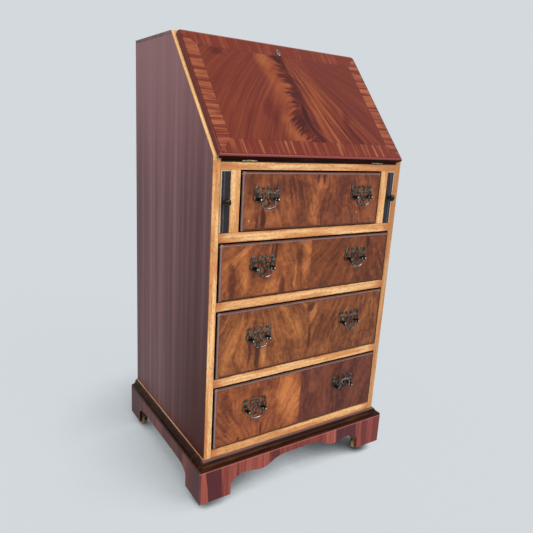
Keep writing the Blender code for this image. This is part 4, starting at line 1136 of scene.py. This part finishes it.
# Half of the front arch, in shares of its half width and of the climb from a foot's step to the apron, and
# the ogee beside a side foot in shares of its width and climb; a point with True is a sharp corner
FRONT_ARCH_SHARES = ((1.00, 0.00, True), (0.975, 0.17), (0.93, 0.37), (0.88, 0.50), (0.82, 0.55), (0.71, 0.46),
                     (0.62, 0.36), (0.56, 0.33), (0.50, 0.40), (0.43, 0.60), (0.36, 0.81), (0.29, 0.92),
                     (0.20, 0.98), (0.00, 1.00))
SIDE_OGEE_SHARES = ((0.00, 0.00, True), (0.08, 0.26), (0.22, 0.50), (0.40, 0.70), (0.60, 0.86), (1.00, 1.00))
FRONT_FOOT_W = 77.7 * MM
SIDE_FOOT_W = 74.8 * MM
REAR_FOOT_W = 68.2 * MM
SIDE_OGEE_W = 34 * MM
FOOT_STEP_H = 29 * MM
APRON_H = 61.5 * MM
SIDE_APRON_H = 46 * MM
CUTTER_OVER = 4 * MM


def moulding_profile(out, height):
    """Thumb round above a cove and a fillet, as (out, height) points from the carcase's foot."""
    thumb = [(out * 0.40 * math.sin(a), height * (0.62 + 0.38 * math.cos(a))) for a in QUARTER]
    thumb += [(out * 0.37, height * 0.57), (out * 0.42, height * 0.54)]
    cove = [(out * (0.95 - 0.50 * math.cos(a)), height * (0.52 - 0.27 * math.sin(a))) for a in QUARTER]
    return thumb + cove + [(out, height * 0.25), (out, 0), (0, 0)]


class BUREAU_OT_base(BureauStep, bpy.types.Operator):
    """Make the base moulding and the bracket plinth"""
    bl_idname = "bureau.base"
    bl_label = "Base"

    def execute(self, context):
        self.moulding()
        self.plinth()
        return {"FINISHED"}

    def moulding(self):
        low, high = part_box("base_moulding")
        outline = [(out, low.z + up) for out, up in moulding_profile(high.x - HALF_W - GAP, high.z - low.z)]
        stain = moulding_finish(self.colours, low.z, high.z)
        piece("base_mould", swept_round(outline), "base_moulding", [stain])

    def plinth(self):
        low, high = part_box("plinth")
        thick = self.sizes.plinth_t
        out = high.x - HALF_W - GAP
        profile = [(out - thick, low.z), (out, low.z), (out, high.z), (out - thick, high.z)]
        ring = carved(swept_round(profile), cuts=[self.front_arch(low, high), *self.side_arches(low, high)])
        ring = carved(ring, joins=self.corner_blocks(low, high))
        veneer = plinth_finish(self.colours)
        inside = wood_finish("plinth_inside", along_x, tones_of(self.colours, "inside"), 127, 0.7)

        def outer(face):
            at = face.calc_center_median()
            flat = max(abs(face.normal.x), abs(face.normal.y)) > 0.9
            near = abs(at.y - low.y) < MM or high.x - abs(at.x) < MM
            return 0 if flat and near or at.z > high.z - MM else 1

        made = piece("bracket_plinth", ring, "plinth", [veneer, inside], pick=outer)
        soften(made, self.sizes.soft_edge)

    def cutter(self, outline, place):
        """A shape that cuts an arch through a board of the plinth."""
        return turn_to(flat_shape([outline], self.sizes.plinth_t + 2 * CUTTER_OVER, fineness=5), place)

    def front_arch(self, low, high):
        half = high.x - FRONT_FOOT_W
        climb = APRON_H - FOOT_STEP_H
        line = [(half * p[0], FOOT_STEP_H + climb * p[1], *p[2:]) for p in FRONT_ARCH_SHARES]
        outline = mirrored([(0, -CUTTER_OVER, True), (half, -CUTTER_OVER, True)] + line)
        place = Matrix.Translation((0, low.y + self.sizes.plinth_t / 2, low.z)) @ FACING
        return self.cutter(outline, place)

    def side_arches(self, low, high):
        near, far = low.y + SIDE_FOOT_W, high.y - REAR_FOOT_W
        climb = SIDE_APRON_H - FOOT_STEP_H
        ogee = [(SIDE_OGEE_W * p[0], FOOT_STEP_H + climb * p[1], *p[2:]) for p in SIDE_OGEE_SHARES]
        rise = [(near + p[0], *p[1:]) for p in ogee]
        fall = [(far - p[0], *p[1:]) for p in reversed(ogee)]
        outline = [(near, -CUTTER_OVER, True)] + rise + fall + [(far, -CUTTER_OVER, True)]
        upright = Matrix.Rotation(math.radians(90), 4, "Z") @ FACING
        for side in (-1, 1):
            place = Matrix.Translation((side * (high.x - self.sizes.plinth_t / 2), 0, low.z)) @ upright
            yield self.cutter(outline, place)

    def corner_blocks(self, low, high):
        thick = self.sizes.plinth_t - MM
        setback = 2 * MM
        base = low.z + self.sizes.block_base
        for side in (-1, 1):
            xs = sorted((side * (high.x - FRONT_FOOT_W + setback), side * (high.x - thick)))
            yield box_shape((xs[0], low.y + thick, base), (xs[1], low.y + SIDE_FOOT_W - setback, high.z - GAP))
            yield box_shape((xs[0], high.y - REAR_FOOT_W + setback, base), (xs[1], high.y - GAP, high.z - GAP))


# Outline of a castor's fork from the side: shares along the trail, and of the height from axle to plate
FORK_SHARES = ((-0.50, 1.00, True), (0.55, 1.00, True), (0.98, 0.84), (1.36, 0.52), (1.42, 0.20),
               (1.34, -0.06), (1.10, -0.16), (0.84, -0.12), (0.66, 0.10), (0.60, 0.36), (0.24, 0.54),
               (-0.10, 0.64), (-0.46, 0.72))
# Half section of a castor's tread: shares of its half width and radius
TREAD_SHARES = ((1.00, 0.20), (1.00, 0.38), (0.72, 0.44), (0.66, 0.70), (0.90, 0.78), (1.00, 0.90), (0.72, 0.97),
                (0.00, 1.00))
# Stem of a castor in millimetres: its radius at heights over the underside of the top plate
STEM_MM = ((0, -7), (8.2, -5), (7.0, -2), (9.5, 0.3))
# How much wider a fork is than its wheel, the thickness of its cheeks and its top plate, and the axle's radius
# and length beyond each cheek
FORK_OVER_WHEEL = 5.5 * MM
FORK_CHEEK_T = 2.15 * MM
CASTOR_PLATE_T = 2 * MM
AXLE_R = 2.4 * MM
AXLE_OUT = 0.7 * MM


class BUREAU_OT_castors(BureauStep, bpy.types.Operator):
    """Make the four castors: brass forks with their top plates, and the pale wheels"""
    bl_idname = "bureau.castors"
    bl_label = "Castors"

    def execute(self, context):
        c = self.colours
        brass = metal_finish("castor_brass", darker(c.brass_dull, 0.35), lean(c.brass, 0.55, 0.62, 0.7), 0.42,
                             share=(0.48, 0.66))
        tread = self.tread_finish(c)
        for name in CASTORS:
            swivel = Vector(JOINTS[name + "_swivel"]["pos_m"])
            hub = middle_of(name + "_wheel")
            heading = math.atan2(hub.y - swivel.y, hub.x - swivel.x)
            place = Matrix.Translation((swivel.x, swivel.y, 0)) @ Matrix.Rotation(heading, 4, "Z")
            trail = math.hypot(hub.x - swivel.x, hub.y - swivel.y)
            self.fork(name, place, trail, hub.z, brass)
            self.wheel(name, place, trail, hub.z, tread)
        return {"FINISHED"}

    def tread_finish(self, c):
        f = Finish("castor_tread", 0.45)
        grain = f.position()
        wear = f.noise(grain, (260, 260, 260), 3, detail=4).rise(0.42, 0.66)
        fine = f.noise(grain, (1200, 1200, 1200), 7, detail=2)
        colour = f.blend(wear * 0.6, c.tread, lean(c.brass_dull, 1.2, 1.15, 1.0))
        return f.done(colour, fine - wear, 0.12 * MM, wear * 0.2)

    def fork(self, name, place, trail, axle_z, brass):
        low, high = box_in(name + "_fork", place)
        width = box_in(name + "_wheel", place)[1].y * 2 + FORK_OVER_WHEEL
        slot = width - 2 * FORK_CHEEK_T
        plate_r = (high.y - low.y) / 2
        seat = high.z - CASTOR_PLATE_T
        climb = seat - axle_z
        outline = [(trail * p[0], axle_z + climb * p[1], *p[2:]) for p in FORK_SHARES]
        body = turn_to(flat_shape([outline], width, edge=0.6 * MM, fineness=4), FACING)
        room_r = axle_z * 1.1
        axle = Vector((trail, 0, axle_z))
        aside = Vector((0, slot / 2, 0))
        cuts = [rod_shape(axle - aside, axle + aside, room_r, 40),
                box_shape((trail - room_r, -slot / 2, -CUTTER_OVER), (trail + 2 * room_r, slot / 2, axle_z))]
        body = carved(body, cuts=cuts)
        reach = Vector((0, width / 2 + AXLE_OUT, 0))
        pin = rod_shape(axle - reach, axle + reach, AXLE_R, 20)
        plate = [(plate_r - 0.6 * MM, seat + 0.3 * MM), (plate_r, seat + 0.9 * MM), (plate_r, high.z), (0, high.z)]
        stem = turned([(r, seat + up) for r, up in in_mm(STEM_MM)] + plate, 40)
        piece(name + "_horn", carved(body, joins=[pin, stem]), name + "_fork", [brass], place=place)

    def wheel(self, name, place, trail, axle_z, tread):
        low, high = box_in(name + "_wheel", place)
        half = (high.y - low.y) / 2
        side = [(axle_z * r, half * w) for w, r in TREAD_SHARES]
        profile = side + [(r, -w) for r, w in reversed(side[:-1])]
        spot = place @ Matrix.Translation((trail, 0, axle_z)) @ FACING
        piece(name + "_tread", turned(profile + [profile[0]], 48), name + "_wheel", [tread],
              place=spot)


# Height of the fall's overlapping lip above its inner face, at the lip's back
LIP_LOW = 6.73 * MM
# Room cut in the fall: the depth for a hinge leaf, the radius for its pin, and the keyhole's half width, half
# height and lower end
LEAF_ROOM = 1.9 * MM
PIN_ROOM_R = 2.9 * MM
KEYHOLE_HALF = (1.5 * MM, 4.5 * MM)
KEYHOLE_LOW = 5 * MM
# Keyhole in its plate: the radius and height of its round, and the half width and depth of its stem
KEY_ROUND_R = 2.1 * MM
KEY_ROUND_UP = 2.2 * MM
KEY_STEM_HALF = 0.9 * MM
KEY_STEM_DOWN = 4.4 * MM


class BUREAU_OT_fall(BureauStep, bpy.types.Operator):
    """Make the fall with its moulded edge, its veneered face and its keyhole escutcheon"""
    bl_idname = "bureau.fall"
    bl_label = "Fall"

    def execute(self, context):
        c = self.colours
        low, high = box_in("fall_board", FALL_PLACE)
        half = high.x
        r = self.sizes.fall_corner
        corner = [(half - r + r * math.cos(a), high.y - r + r * math.sin(a)) for a in QUARTER]
        outline = [(-half, low.y), (half, low.y)] + corner + [(-x, y) for x, y in reversed(corner)]
        mould = self.sizes.fall_mould
        profile = round_steps(mould * 0.9, mould * 0.85, 8) + [(mould * 0.1, HAIR), (HAIR, 0.7 * MM)]
        board = moulded_board(outline, LIP_LOW, high.z, profile)
        panel_low, panel_high = self.panel(low)
        shape = carved(board, joins=[box_shape(panel_low, (panel_high.x, panel_high.y, LIP_LOW + 2 * MM))])
        shape = carved(shape, cuts=self.recesses(high))
        figure = flame_finish(c, high.y, half, mould)
        edge = fall_edge_finish(c, mould)
        # Painted shade for the faces of the fall that look down the slant
        dark = stained_finish("fall_gap", lean(c.gap_stain, 2.6, 0.9, 0.5), lean(c.fall_edge, 0.6, 0.35, 0.25),
                              0.5, 0.04)
        tones = tuple(lean(t, 1.1, 0.95, 0.85) for t in tones_of(c, "side"))
        plain = wood_finish("fall_inside", along_x, tones, 137, 0.42)

        # Faces that look down the slant get the painted shade
        def face_kind(face):
            at = face.calc_center_median()
            if face.normal.z > 0.99 and at.z > high.z - 0.2 * MM:
                return 0
            if at.z > LIP_LOW + HAIR and face.normal.z > -0.5:
                return 3 if -face.normal.y > 0.93 else 1
            return 3 if face.normal.y < -0.5 else 2

        piece("fall_face", shape, "fall_board", [figure, edge, plain, dark], pick=face_kind,
              place=FALL_PLACE)
        self.escutcheon(c)
        return {"FINISHED"}

    def panel(self, low):
        """The inner panel, which closes between the sides: read from the node's back face."""
        left, right = box_round([p for p in points_in("fall_board", FALL_PLACE) if p.z < HAIR])
        return Vector((left.x, low.y, 0)), Vector((right.x, right.y, 0))

    def recesses(self, high):
        """Room for the hinge leaves, the lock and its bolt, and the keyhole."""
        for side in ("left", "right"):
            a, b = box_in(side + "_fall_leaf", FALL_PLACE)
            yield box_shape((a.x - GAP, -CUTTER_OVER, -CUTTER_OVER), (b.x + GAP, b.y + GAP, LEAF_ROOM))
            yield rod_shape((a.x - GAP, 0, 0), (b.x + GAP, 0, 0), PIN_ROOM_R, 24)
        a, b = box_in("fall_lock", FALL_PLACE)
        yield box_shape((a.x - GAP, a.y - GAP, -CUTTER_OVER), (b.x + GAP, b.y + GAP, b.z + GAP))
        a, b = box_in("lock_bolt", FALL_PLACE)
        yield box_shape((a.x - GAP, b.y - MM, a.z - GAP), (b.x + GAP, b.y + CUTTER_OVER, b.z + GAP))
        a, b = box_in("keyhole_escutcheon", FALL_PLACE)
        wide, tall = KEYHOLE_HALF
        at_y = (a.y + b.y) / 2
        yield box_shape((-wide, at_y - tall, KEYHOLE_LOW), (wide, at_y + tall, high.z + CUTTER_OVER))

    def escutcheon(self, c):
        """An oval plate pierced by a round and a stem."""
        low, top = box_in("keyhole_escutcheon", FALL_PLACE)
        a, b = (top.x - low.x) / 2, (top.y - low.y) / 2
        oval = [(a * math.cos(t), b * math.sin(t)) for t in [2 * math.pi * i / 16 for i in range(16)]]
        key = [(KEY_ROUND_R * math.sin(t), KEY_ROUND_UP + KEY_ROUND_R * math.cos(t))
               for t in [math.radians(v) for v in (150, 90, 30, -30, -90, -150)]]
        key += [(-KEY_STEM_HALF, -KEY_STEM_DOWN, True), (KEY_STEM_HALF, -KEY_STEM_DOWN, True)]
        bm = flat_shape([oval, key], top.z - low.z, edge=0.3 * MM)
        brass = metal_finish("escutcheon_brass", lean(c.brass_dull, 0.7, 0.75, 0.8),
                             lean(c.tread, 0.75, 0.9, 1.1), 0.34)
        piece("key_plate", bm, "keyhole_escutcheon", [brass],
              place=FALL_PLACE @ Matrix.Translation((low + top) / 2))


# How far a leaf's screws stand from its middle, away from the pin
LEAF_SCREW_SHIFT = 2.4 * MM


class BUREAU_OT_hinges(BureauStep, bpy.types.Operator):
    """Finish the hinges, the lock and its bolt, and add the hinge screws"""
    bl_idname = "bureau.hinges"
    bl_label = "Hinges and lock"

    def execute(self, context):
        c = self.colours
        brass = metal_finish("hinge_brass", lean(c.brass_dull, 1.1, 1.1, 1.0), c.brass, 0.38)
        lock = metal_finish("lock_brass", lean(c.brass, 0.7, 0.7, 0.6), c.brass, 0.32, seed=9)
        leaves = (("_bed_leaf", Matrix.Translation(HINGE_LINE), 0), ("_fall_leaf", FALL_PLACE, 180))
        for side in ("left", "right"):
            for leaf, place, turn in leaves:
                soften(dress(side + leaf, brass), 0.15 * MM, angle=60)
                self.screws(side + leaf, place, turn, brass)
        soften(dress("fall_lock", lock), 0.3 * MM)
        self.screws("fall_lock", FALL_PLACE, 180, brass)
        dress("lock_bolt", lock)
        return {"FINISHED"}

    def screws(self, node, place, turn, material):
        """Three slotted heads in a row along a leaf, or two on the lock, as one piece."""
        low, high = box_in(node, place)
        middle = (low + high) / 2
        leaf = node.endswith("_leaf")
        middle.z = 0.0 if leaf else low.z
        if leaf:
            middle.y += LEAF_SCREW_SHIFT
        spread = (high.x - low.x) * 0.34
        r = self.sizes.screw_r
        up = Matrix.Rotation(math.radians(turn), 4, "X")
        bm = bmesh.new()
        for i in range(3) if leaf else (0, 2):
            head = domed_head(r, (-0.5, 0.05, 0.22, 0.28), 24)
            slot = box_shape((-r, -0.35 * MM, 0.02 * MM), (r, 0.35 * MM, MM))
            turn_to(slot, Matrix.Rotation(math.radians(35 + 50 * i), 4, "Z"))
            spot = Matrix.Translation(middle + Vector((spread * (i - 1), 0, 0))) @ up
            add_shape(bm, carved(head, cuts=[slot]), spot)
        piece(node + "_screws", bm, node, [material], replaces=False, place=place)


# Turned loper knob: shares of its radius and length, from its seat to its nose
KNOB_SHARES = ((0.52, 0.00), (0.52, 0.08), (0.40, 0.14), (0.36, 0.24), (0.46, 0.34), (0.74, 0.46), (0.96, 0.58),
               (1.00, 0.68), (0.92, 0.80), (0.70, 0.90), (0.42, 0.97), (0.20, 0.995), (0.00, 1.00))
TENON_R = 3 * MM
TENON_DEEP = 8 * MM


class BUREAU_OT_lopers(BureauStep, bpy.types.Operator):
    """Finish the lopers and turn their bronze knobs"""
    bl_idname = "bureau.lopers"
    bl_label = "Lopers"

    def execute(self, context):
        c = self.colours
        stain = ebony_finish(c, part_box("left_loper")[1].z)
        bronze = metal_finish("knob_bronze", darker(c.bronze, 0.4), c.bronze, 0.30)
        for side in ("left", "right"):
            soften(dress(side + "_loper", stain), self.sizes.soft_edge)
            low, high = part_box(side + "_loper_knob")
            radius = (high.x - low.x) / 2
            length = FRONT_Y - GAP - low.y
            line = smooth_line([(radius * r, length * a) for r, a in KNOB_SHARES], 3)
            tenon = [(0, -TENON_DEEP), (TENON_R, -TENON_DEEP), (TENON_R, 0)]
            bm = turned(tenon + [tuple(p) for p in line[:-1]] + [(0, length)], 32)
            spot = Matrix.Translation(((low.x + high.x) / 2, FRONT_Y - GAP, (low.z + high.z) / 2)) @ FACING
            piece(side + "_knob", bm, side + "_loper_knob", [bronze], place=spot)
        return {"FINISHED"}


# Places of the two pins across the top drawer's front and up from its middle
PIN_SPOTS = ((-169 * MM, -40 * MM), (120 * MM, -31 * MM))


class BUREAU_OT_drawers(BureauStep, bpy.types.Operator):
    """Make the drawer fronts with their rounded edges, and finish the boxes behind them"""
    bl_idname = "bureau.drawers"
    bl_label = "Drawers"

    def execute(self, context):
        c = self.colours
        # Painted shadow on the sides of the fronts, in the gaps round them
        gap = stained_finish("gap_stain", c.gap_stain, darker(c.gap_stain, 2.0), 0.5, 0.1)
        inside = tones_of(c, "inside")
        plain = wood_finish("front_core", along_x, inside, 139, 0.6)
        width = self.sizes.drawer_mould
        for number, drawer in enumerate(DRAWERS, start=1):
            low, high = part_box(drawer + "_front")
            low = Vector((low.x + self.sizes.gap_side, low.y, low.z + self.sizes.gap_under))
            high = Vector((high.x - self.sizes.gap_side, high.y, high.z - self.sizes.gap_over))
            profile = round_steps(width * 0.86, width * 0.78, 7) + [(width * 0.14, HAIR), (HAIR, 0.5 * MM)]
            outline = [(low.x, low.z), (high.x, low.z), (high.x, high.z), (low.x, high.z)]
            thick = high.y - low.y
            shape = moulded_board(outline, 0, thick, profile)

            # Faces that look sideways take the painted shadow of the gaps
            def face_kind(face):
                if face.normal.z > 0.99 and face.calc_center_median().z > thick - HAIR:
                    return 0
                if face.normal.z > 0.3:
                    return 1
                return 2 if face.normal.z > -0.5 else 3

            field = walnut_field(c, number, low, high)
            edge = drawer_edge_finish(c, number, low, high, width)
            piece(drawer + "_face", shape, drawer + "_front", [field, edge, gap, plain],
                  pick=face_kind, place=Matrix.Translation((0, high.y, 0)) @ FACING)
            self.box(drawer, inside, 151 + number)
        self.pins(c)
        return {"FINISHED"}

    def box(self, drawer, tones, seed):
        """Box wood with the ends of dovetails where its sides meet the front."""
        f = Finish(drawer + "_box_wood", 0.6)
        x, y, z = f.position()
        colour, height = plain_wood(f, (y, z, x), tones, seed, bands=(2, 30))
        low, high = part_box(drawer + "_box")
        pitch = (high.z - low.z) / 5
        saw = f.sum_of("PINGPONG", (z - low.z) / pitch - 0.5, 0.5)
        before = saw * 0.030 + low.y - y + 4 * MM
        tail = before.rise(-0.3 * MM, 0.3 * MM)
        line = before.abs().rise(0.7 * MM, 0.2 * MM)
        colour = f.blend(tail * 0.35, colour, darker(tones[0], 0.8))
        colour = f.blend(line * 0.7, colour, darker(tones[0], 0.4))
        dress(drawer + "_box", f.done(colour, height - line, 0.15 * MM, height * -0.06))

    def pins(self, c):
        """Two small pale pins in the top drawer: near its lower left corner and under the right handle."""
        low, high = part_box("drawer_1_front")
        pale = honey_finish("pin_wood", c, 163, along_x)
        bm = bmesh.new()
        for x, up in PIN_SPOTS:
            dome = domed_head(self.sizes.pin_r, (-0.3, 0.15, 0.35, 0.42), 20)
            place = Matrix.Translation((x, low.y, (low.z + high.z) / 2 + up)) @ FACING
            add_shape(bm, dome, place)
        piece("drawer_1_pins", bm, "drawer_1_front", [pale], replaces=False)


# Half outline of a handle's plate in millimetres from the middle between its posts, from the lower tip
# round the wing and its curled ear to the crown; the openings follow, the first two on the middle line
PLATE_MM = ((0, -18, True), (5.0, -15.6), (9.4, -11.4), (12.6, -8.2), (15.8, -7.8), (19.4, -6.0), (24.4, -6.2),
            (29.6, -3.6), (32.2, 2.6), (31.2, 8.8), (29.2, 11.8, True), (31.0, 17.2), (29.2, 23.6), (24.0, 26.4),
            (19.0, 25.0), (17.4, 21.2), (20.2, 19.0), (22.4, 21.8), (25.0, 20.6), (24.6, 17.0), (20.6, 14.2),
            (16.4, 12.4), (13.4, 13.6), (10.8, 17.6), (10.4, 20.0), (12.2, 22.8), (8.4, 24.4), (4.2, 24.8),
            (0, 26.4))
CROWN_MM = ((0, 11.4, True), (2.6, 13.6), (5.4, 18.2), (6.2, 20.8), (3.4, 21.8), (0, 22.4))
PENDANT_MM = ((0, 0.8, True), (3.8, -2.6), (4.8, -7.0), (3.2, -11.0), (0, -14.4, True))
SIDE_OPENINGS_MM = (
    ((26.8, -2.4), (30.0, 1.0), (29.8, 5.8), (27.4, 9.0), (25.4, 5.4), (25.4, 1.0)),
    ((11.6, 2.0), (15.6, 2.8), (18.4, 6.8), (16.8, 10.2), (12.2, 10.0), (9.8, 6.0)),
    ((4.6, 0.0), (7.6, 0.2), (7.4, 4.6), (7.4, 9.2), (4.6, 9.6), (2.6, 5.0)),
    ((6.8, -2.4), (12.0, -2.0), (14.6, -4.6), (10.2, -5.2), (6.8, -6.8)),
)
# Half of a bail's line in millimetres from the middle between its pivots
BAIL_MM = ((20.6, 0.0), (17.6, 0.0), (15.9, 0.5), (15.2, -1.0), (15.3, -4.0), (15.9, -7.6), (15.2, -11.4),
           (12.8, -14.8), (8.8, -17.2), (4.4, -18.2), (0.0, -18.5))


def in_mm(points):
    """Outline points written in millimetres, in metres."""
    return [(p[0] * MM, p[1] * MM, *p[2:]) for p in points]


class BUREAU_OT_handles(BureauStep, bpy.types.Operator):
    """Make the eight pierced handle plates with their ball posts, and the bails"""
    bl_idname = "bureau.handles"
    bl_label = "Handles"

    def execute(self, context):
        c = self.colours
        bronze = metal_finish("handle_bronze", c.bronze, c.bronze_rubbed, 0.40, scale=160)
        ball = metal_finish("post_bronze", lean(c.bronze, 0.25, 0.25, 0.28), c.bronze, 0.16, scale=160,
                            share=(0.58, 0.72))
        # Painted highlight on the noses of the balls
        nose = metal_finish("post_nose", c.bronze_rubbed, lean(c.tread, 1.2, 1.4, 1.8), 0.24, share=(0.30, 0.50))
        wire = metal_finish("bail_bronze", c.bronze, lean(c.bronze_rubbed, 1.25, 1.2, 1.3), 0.28, scale=120,
                            share=(0.40, 0.58))
        hanging = JOINTS["drawer_1_left_bail_swing"]["range_deg"][0]
        for label in HANDLES:
            place = seat_place(label)
            self.plate(label, place, (bronze, ball, nose))
            joint = JOINTS[label + "_bail_swing"]
            self.bail(label, joint, math.radians(hanging - joint["range_deg"][0]), wire)
        return {"FINISHED"}

    def plate(self, label, place, metals):
        """The pierced plate and its two posts; the metals are the plate's, the posts' and the painted highlight on
        their noses.
        """
        thick = self.sizes.plate_t
        outlines = [mirrored(in_mm(half)) for half in (PLATE_MM, CROWN_MM, PENDANT_MM)]
        for opening in SIDE_OPENINGS_MM:
            outlines.append(in_mm(opening))
            outlines.append([(-x, y) for x, y in in_mm(opening)])
        bm = turn_to(flat_shape(outlines, thick, edge=0.45 * MM, fineness=4),
                     Matrix.Translation((0, 0, thick / 2)))
        post = self.sizes.post_spacing / 2
        for x in (-post, post):
            add_shape(bm, self.post(), Matrix.Translation((x, 0, 0)))
        levels = (thick + 0.4 * MM, thick + self.sizes.pivot_out + self.sizes.ball_r * 0.88)
        piece(label + "_backplate", bm, label + "_plate", metals, angle=50, place=place,
              pick=lambda face: sum(face.calc_center_median().z > level for level in levels))

    def post(self):
        """Rosette, neck and ball, standing on the plate."""
        r = self.sizes.ball_r
        at = self.sizes.plate_t + self.sizes.pivot_out
        foot = self.sizes.plate_t * 0.6
        profile = [(0, foot), (r * 0.96, foot), (r * 0.98, foot + 1.2 * MM), (r * 0.70, foot + 2.0 * MM),
                   (r * 0.52, foot + 3.0 * MM), (r * 0.50, at - r), (r * 0.62, at - r * 0.86)]
        ball = [math.radians(d) for d in range(50, 171, 12)]
        profile += [(r * math.sin(t), at - r * math.cos(t)) for t in ball]
        return turned(profile + [(0, at + r)], 28)

    def bail(self, label, joint, swing, wire):
        """A swan-necked wire, thickest at its lowest point."""
        half = [Vector((x, 0, z)) for x, z in in_mm(BAIL_MM)]
        line = smooth_line(half + [Vector((-p.x, 0, p.z)) for p in reversed(half[:-1])], 4)
        drop = -half[-1].z
        radii = [self.sizes.bail_r * (0.95 + 0.45 * max(0.0, -p.z / drop) ** 3) for p in line]
        place = Matrix.Translation(Vector(joint["pos_m"])) @ Matrix.Rotation(-swing, 4, "X")
        piece(label + "_pull", tube(line, radii, 14), label + "_bail", [wire], place=place)


# The floor's two soft shadows: the way that its open side is looked for, how open it is where a shadow is
# deepest and where it ends, and the share of light left where it is deepest
CLOSE_SHADOW = ((0, 0, 1), 0.28, 0.50, 0.02)
WIDE_SHADOW = ((0.12, -0.99, 0.06), 0.60, 0.94, 0.30)


class BUREAU_OT_stage(BureauStep, bpy.types.Operator):
    """Set the pale floor, the even light and the camera"""
    bl_idname = "bureau.stage"
    bl_label = "Stage"

    def execute(self, context):
        stage = context.scene.bureau_stage
        self.world(context.scene, stage)
        self.floor(stage)
        self.lamps(stage)
        self.camera(context.scene, stage)
        context.scene.view_settings.view_transform = "Standard"
        return {"FINISHED"}

    def world(self, scene, stage):
        """Even light for the object, and the backdrop's colour for the camera, gloss and glass."""
        world = bpy.data.worlds.new("studio")
        scene.world = world
        world.use_nodes = True
        world.node_tree.nodes.clear()
        made = Nodes(world.node_tree)
        light = made.node("Background", [("Color", (1, 1, 1)), ("Strength", stage.sky)]).outputs[0]
        backdrop = made.node("Background", [("Color", self.colours.backdrop)]).outputs[0]
        mix = made.node("MixShader", enumerate((made.seen(), light, backdrop))).outputs[0]
        made.node("OutputWorld", [("Surface", mix)])

    def floor(self, stage):
        """A floor whose lit colour is the backdrop's, so that no horizon shows."""
        bm = bmesh.new()
        bmesh.ops.create_grid(bm, x_segments=1, y_segments=1, size=stage.floor_size / 2)
        floor = temporary("floor", mesh_of(bm, "floor"))
        lit = sum(strength * way.z for _, strength, _, way in self.lamp_table(stage))
        level = stage.sky + lit / math.pi
        f = Finish("floor", 1.0, gloss=0.0)
        f.feed(f.shader.inputs["Base Color"], darker(self.colours.backdrop, 1 / level))
        f.feed(f.shader.inputs["Roughness"], f.roughness)
        # What the camera sees of the floor keeps its shadow, lightened by an even share of the backdrop, which
        # darkens close round the foot and, more widely, on the side away from the light
        close = self.shelter(f, stage.contact, *CLOSE_SHADOW)
        wide = self.shelter(f, stage.reach, *WIDE_SHADOW)
        even = f.node("Emission", [("Color", self.colours.backdrop), ("Strength", close * wide)]).outputs[0]
        mix = f.node("MixShader", enumerate((f.seen() * stage.glow, f.shader.outputs[0], even))).outputs[0]
        f.feed(f.tree.nodes["Material Output"].inputs["Surface"], mix)
        floor.data.materials.append(f.material)
        floor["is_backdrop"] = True

    def shelter(self, f, reach, way, low, high, least):
        """A share from least, where pieces within reach hide the open side that way points to, up to 1."""
        facing = f.node("CombineXYZ", enumerate(way)).outputs[0]
        near = f.node("AmbientOcclusion", [("Distance", reach), ("Normal", facing)], samples=16).outputs["AO"]
        ends = (("From Min", low), ("From Max", high), ("To Min", least), ("To Max", 1.0))
        return Field(f, f.node("MapRange", [("Value", near), *ends]).outputs[0])

    def lamp_table(self, stage):
        """Name, strength, angle and direction of the two lamps: a broad one and a small one for highlights."""
        return (("key", stage.key, 38, Vector((0.30, -0.69, 0.66)).normalized()),
                ("glint", stage.glint, 7, Vector((-0.42, -0.62, 0.66)).normalized()))

    def lamps(self, stage):
        for name, strength, spread, way in self.lamp_table(stage):
            lamp = bpy.data.lights.new(name, "SUN")
            lamp.energy = strength
            lamp.angle = math.radians(spread)
            made = temporary(name, lamp)
            made.rotation_euler = way.to_track_quat("Z", "Y").to_euler()

    def camera(self, scene, stage):
        data = bpy.data.cameras.new("view")
        data.sensor_width = 36
        data.lens = stage.lens
        data.clip_end = 200
        camera = temporary("view", data)
        foot_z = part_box("plinth")[0].z
        camera.location = (-HALF_W - stage.camera_left, FRONT_Y - stage.camera_out, foot_z + stage.camera_up)
        level = math.cos(stage.pitch)
        ahead = Vector((math.sin(-stage.yaw) * level, math.cos(-stage.yaw) * level, math.sin(stage.pitch)))
        turn = ahead.to_track_quat("-Z", "Y") @ Quaternion((0, 0, 1), stage.roll)
        camera.rotation_euler = turn.to_euler()
        scene.camera = camera


class BUREAU_PT_panel(bpy.types.Panel):
    """The steps that dress the bureau"""
    bl_idname = "BUREAU_PT_panel"
    bl_label = "Bureau"
    bl_space_type = "VIEW_3D"
    bl_region_type = "UI"
    bl_category = "Bureau"

    def draw(self, context):
        for step in STEPS:
            self.layout.operator(step.bl_idname)
        for name in ("bureau_sizes", "bureau_stage", "bureau_colours"):
            group = getattr(context.scene, name)
            box = self.layout.box()
            for key in group.__annotations__:
                box.prop(group, key)


STEPS = (BUREAU_OT_carcase, BUREAU_OT_base, BUREAU_OT_castors, BUREAU_OT_fall, BUREAU_OT_hinges,
         BUREAU_OT_lopers, BUREAU_OT_drawers, BUREAU_OT_handles, BUREAU_OT_stage)
GROUPS = {"bureau_colours": BureauColours, "bureau_sizes": BureauSizes, "bureau_stage": BureauStage}


def register():
    for group in (*GROUPS.values(), *STEPS, BUREAU_PT_panel):
        bpy.utils.register_class(group)
    for name, group in GROUPS.items():
        setattr(bpy.types.Scene, name, bpy.props.PointerProperty(type=group))


def unregister():
    for name in GROUPS:
        delattr(bpy.types.Scene, name)
    for group in (BUREAU_PT_panel, *reversed(STEPS), *GROUPS.values()):
        bpy.utils.unregister_class(group)


def main():
    register()
    bpy.ops.bureau.carcase()
    bpy.ops.bureau.base()
    bpy.ops.bureau.castors()
    bpy.ops.bureau.fall()
    bpy.ops.bureau.hinges()
    bpy.ops.bureau.lopers()
    bpy.ops.bureau.drawers()
    bpy.ops.bureau.handles()
    bpy.ops.bureau.stage()
    boxes = {"cad": CAD_BOX, "visual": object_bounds()}
    {name: [[float(v) for v in corner] for corner in box] for name, box in boxes.items()}


if __name__ == "__main__":
    main()
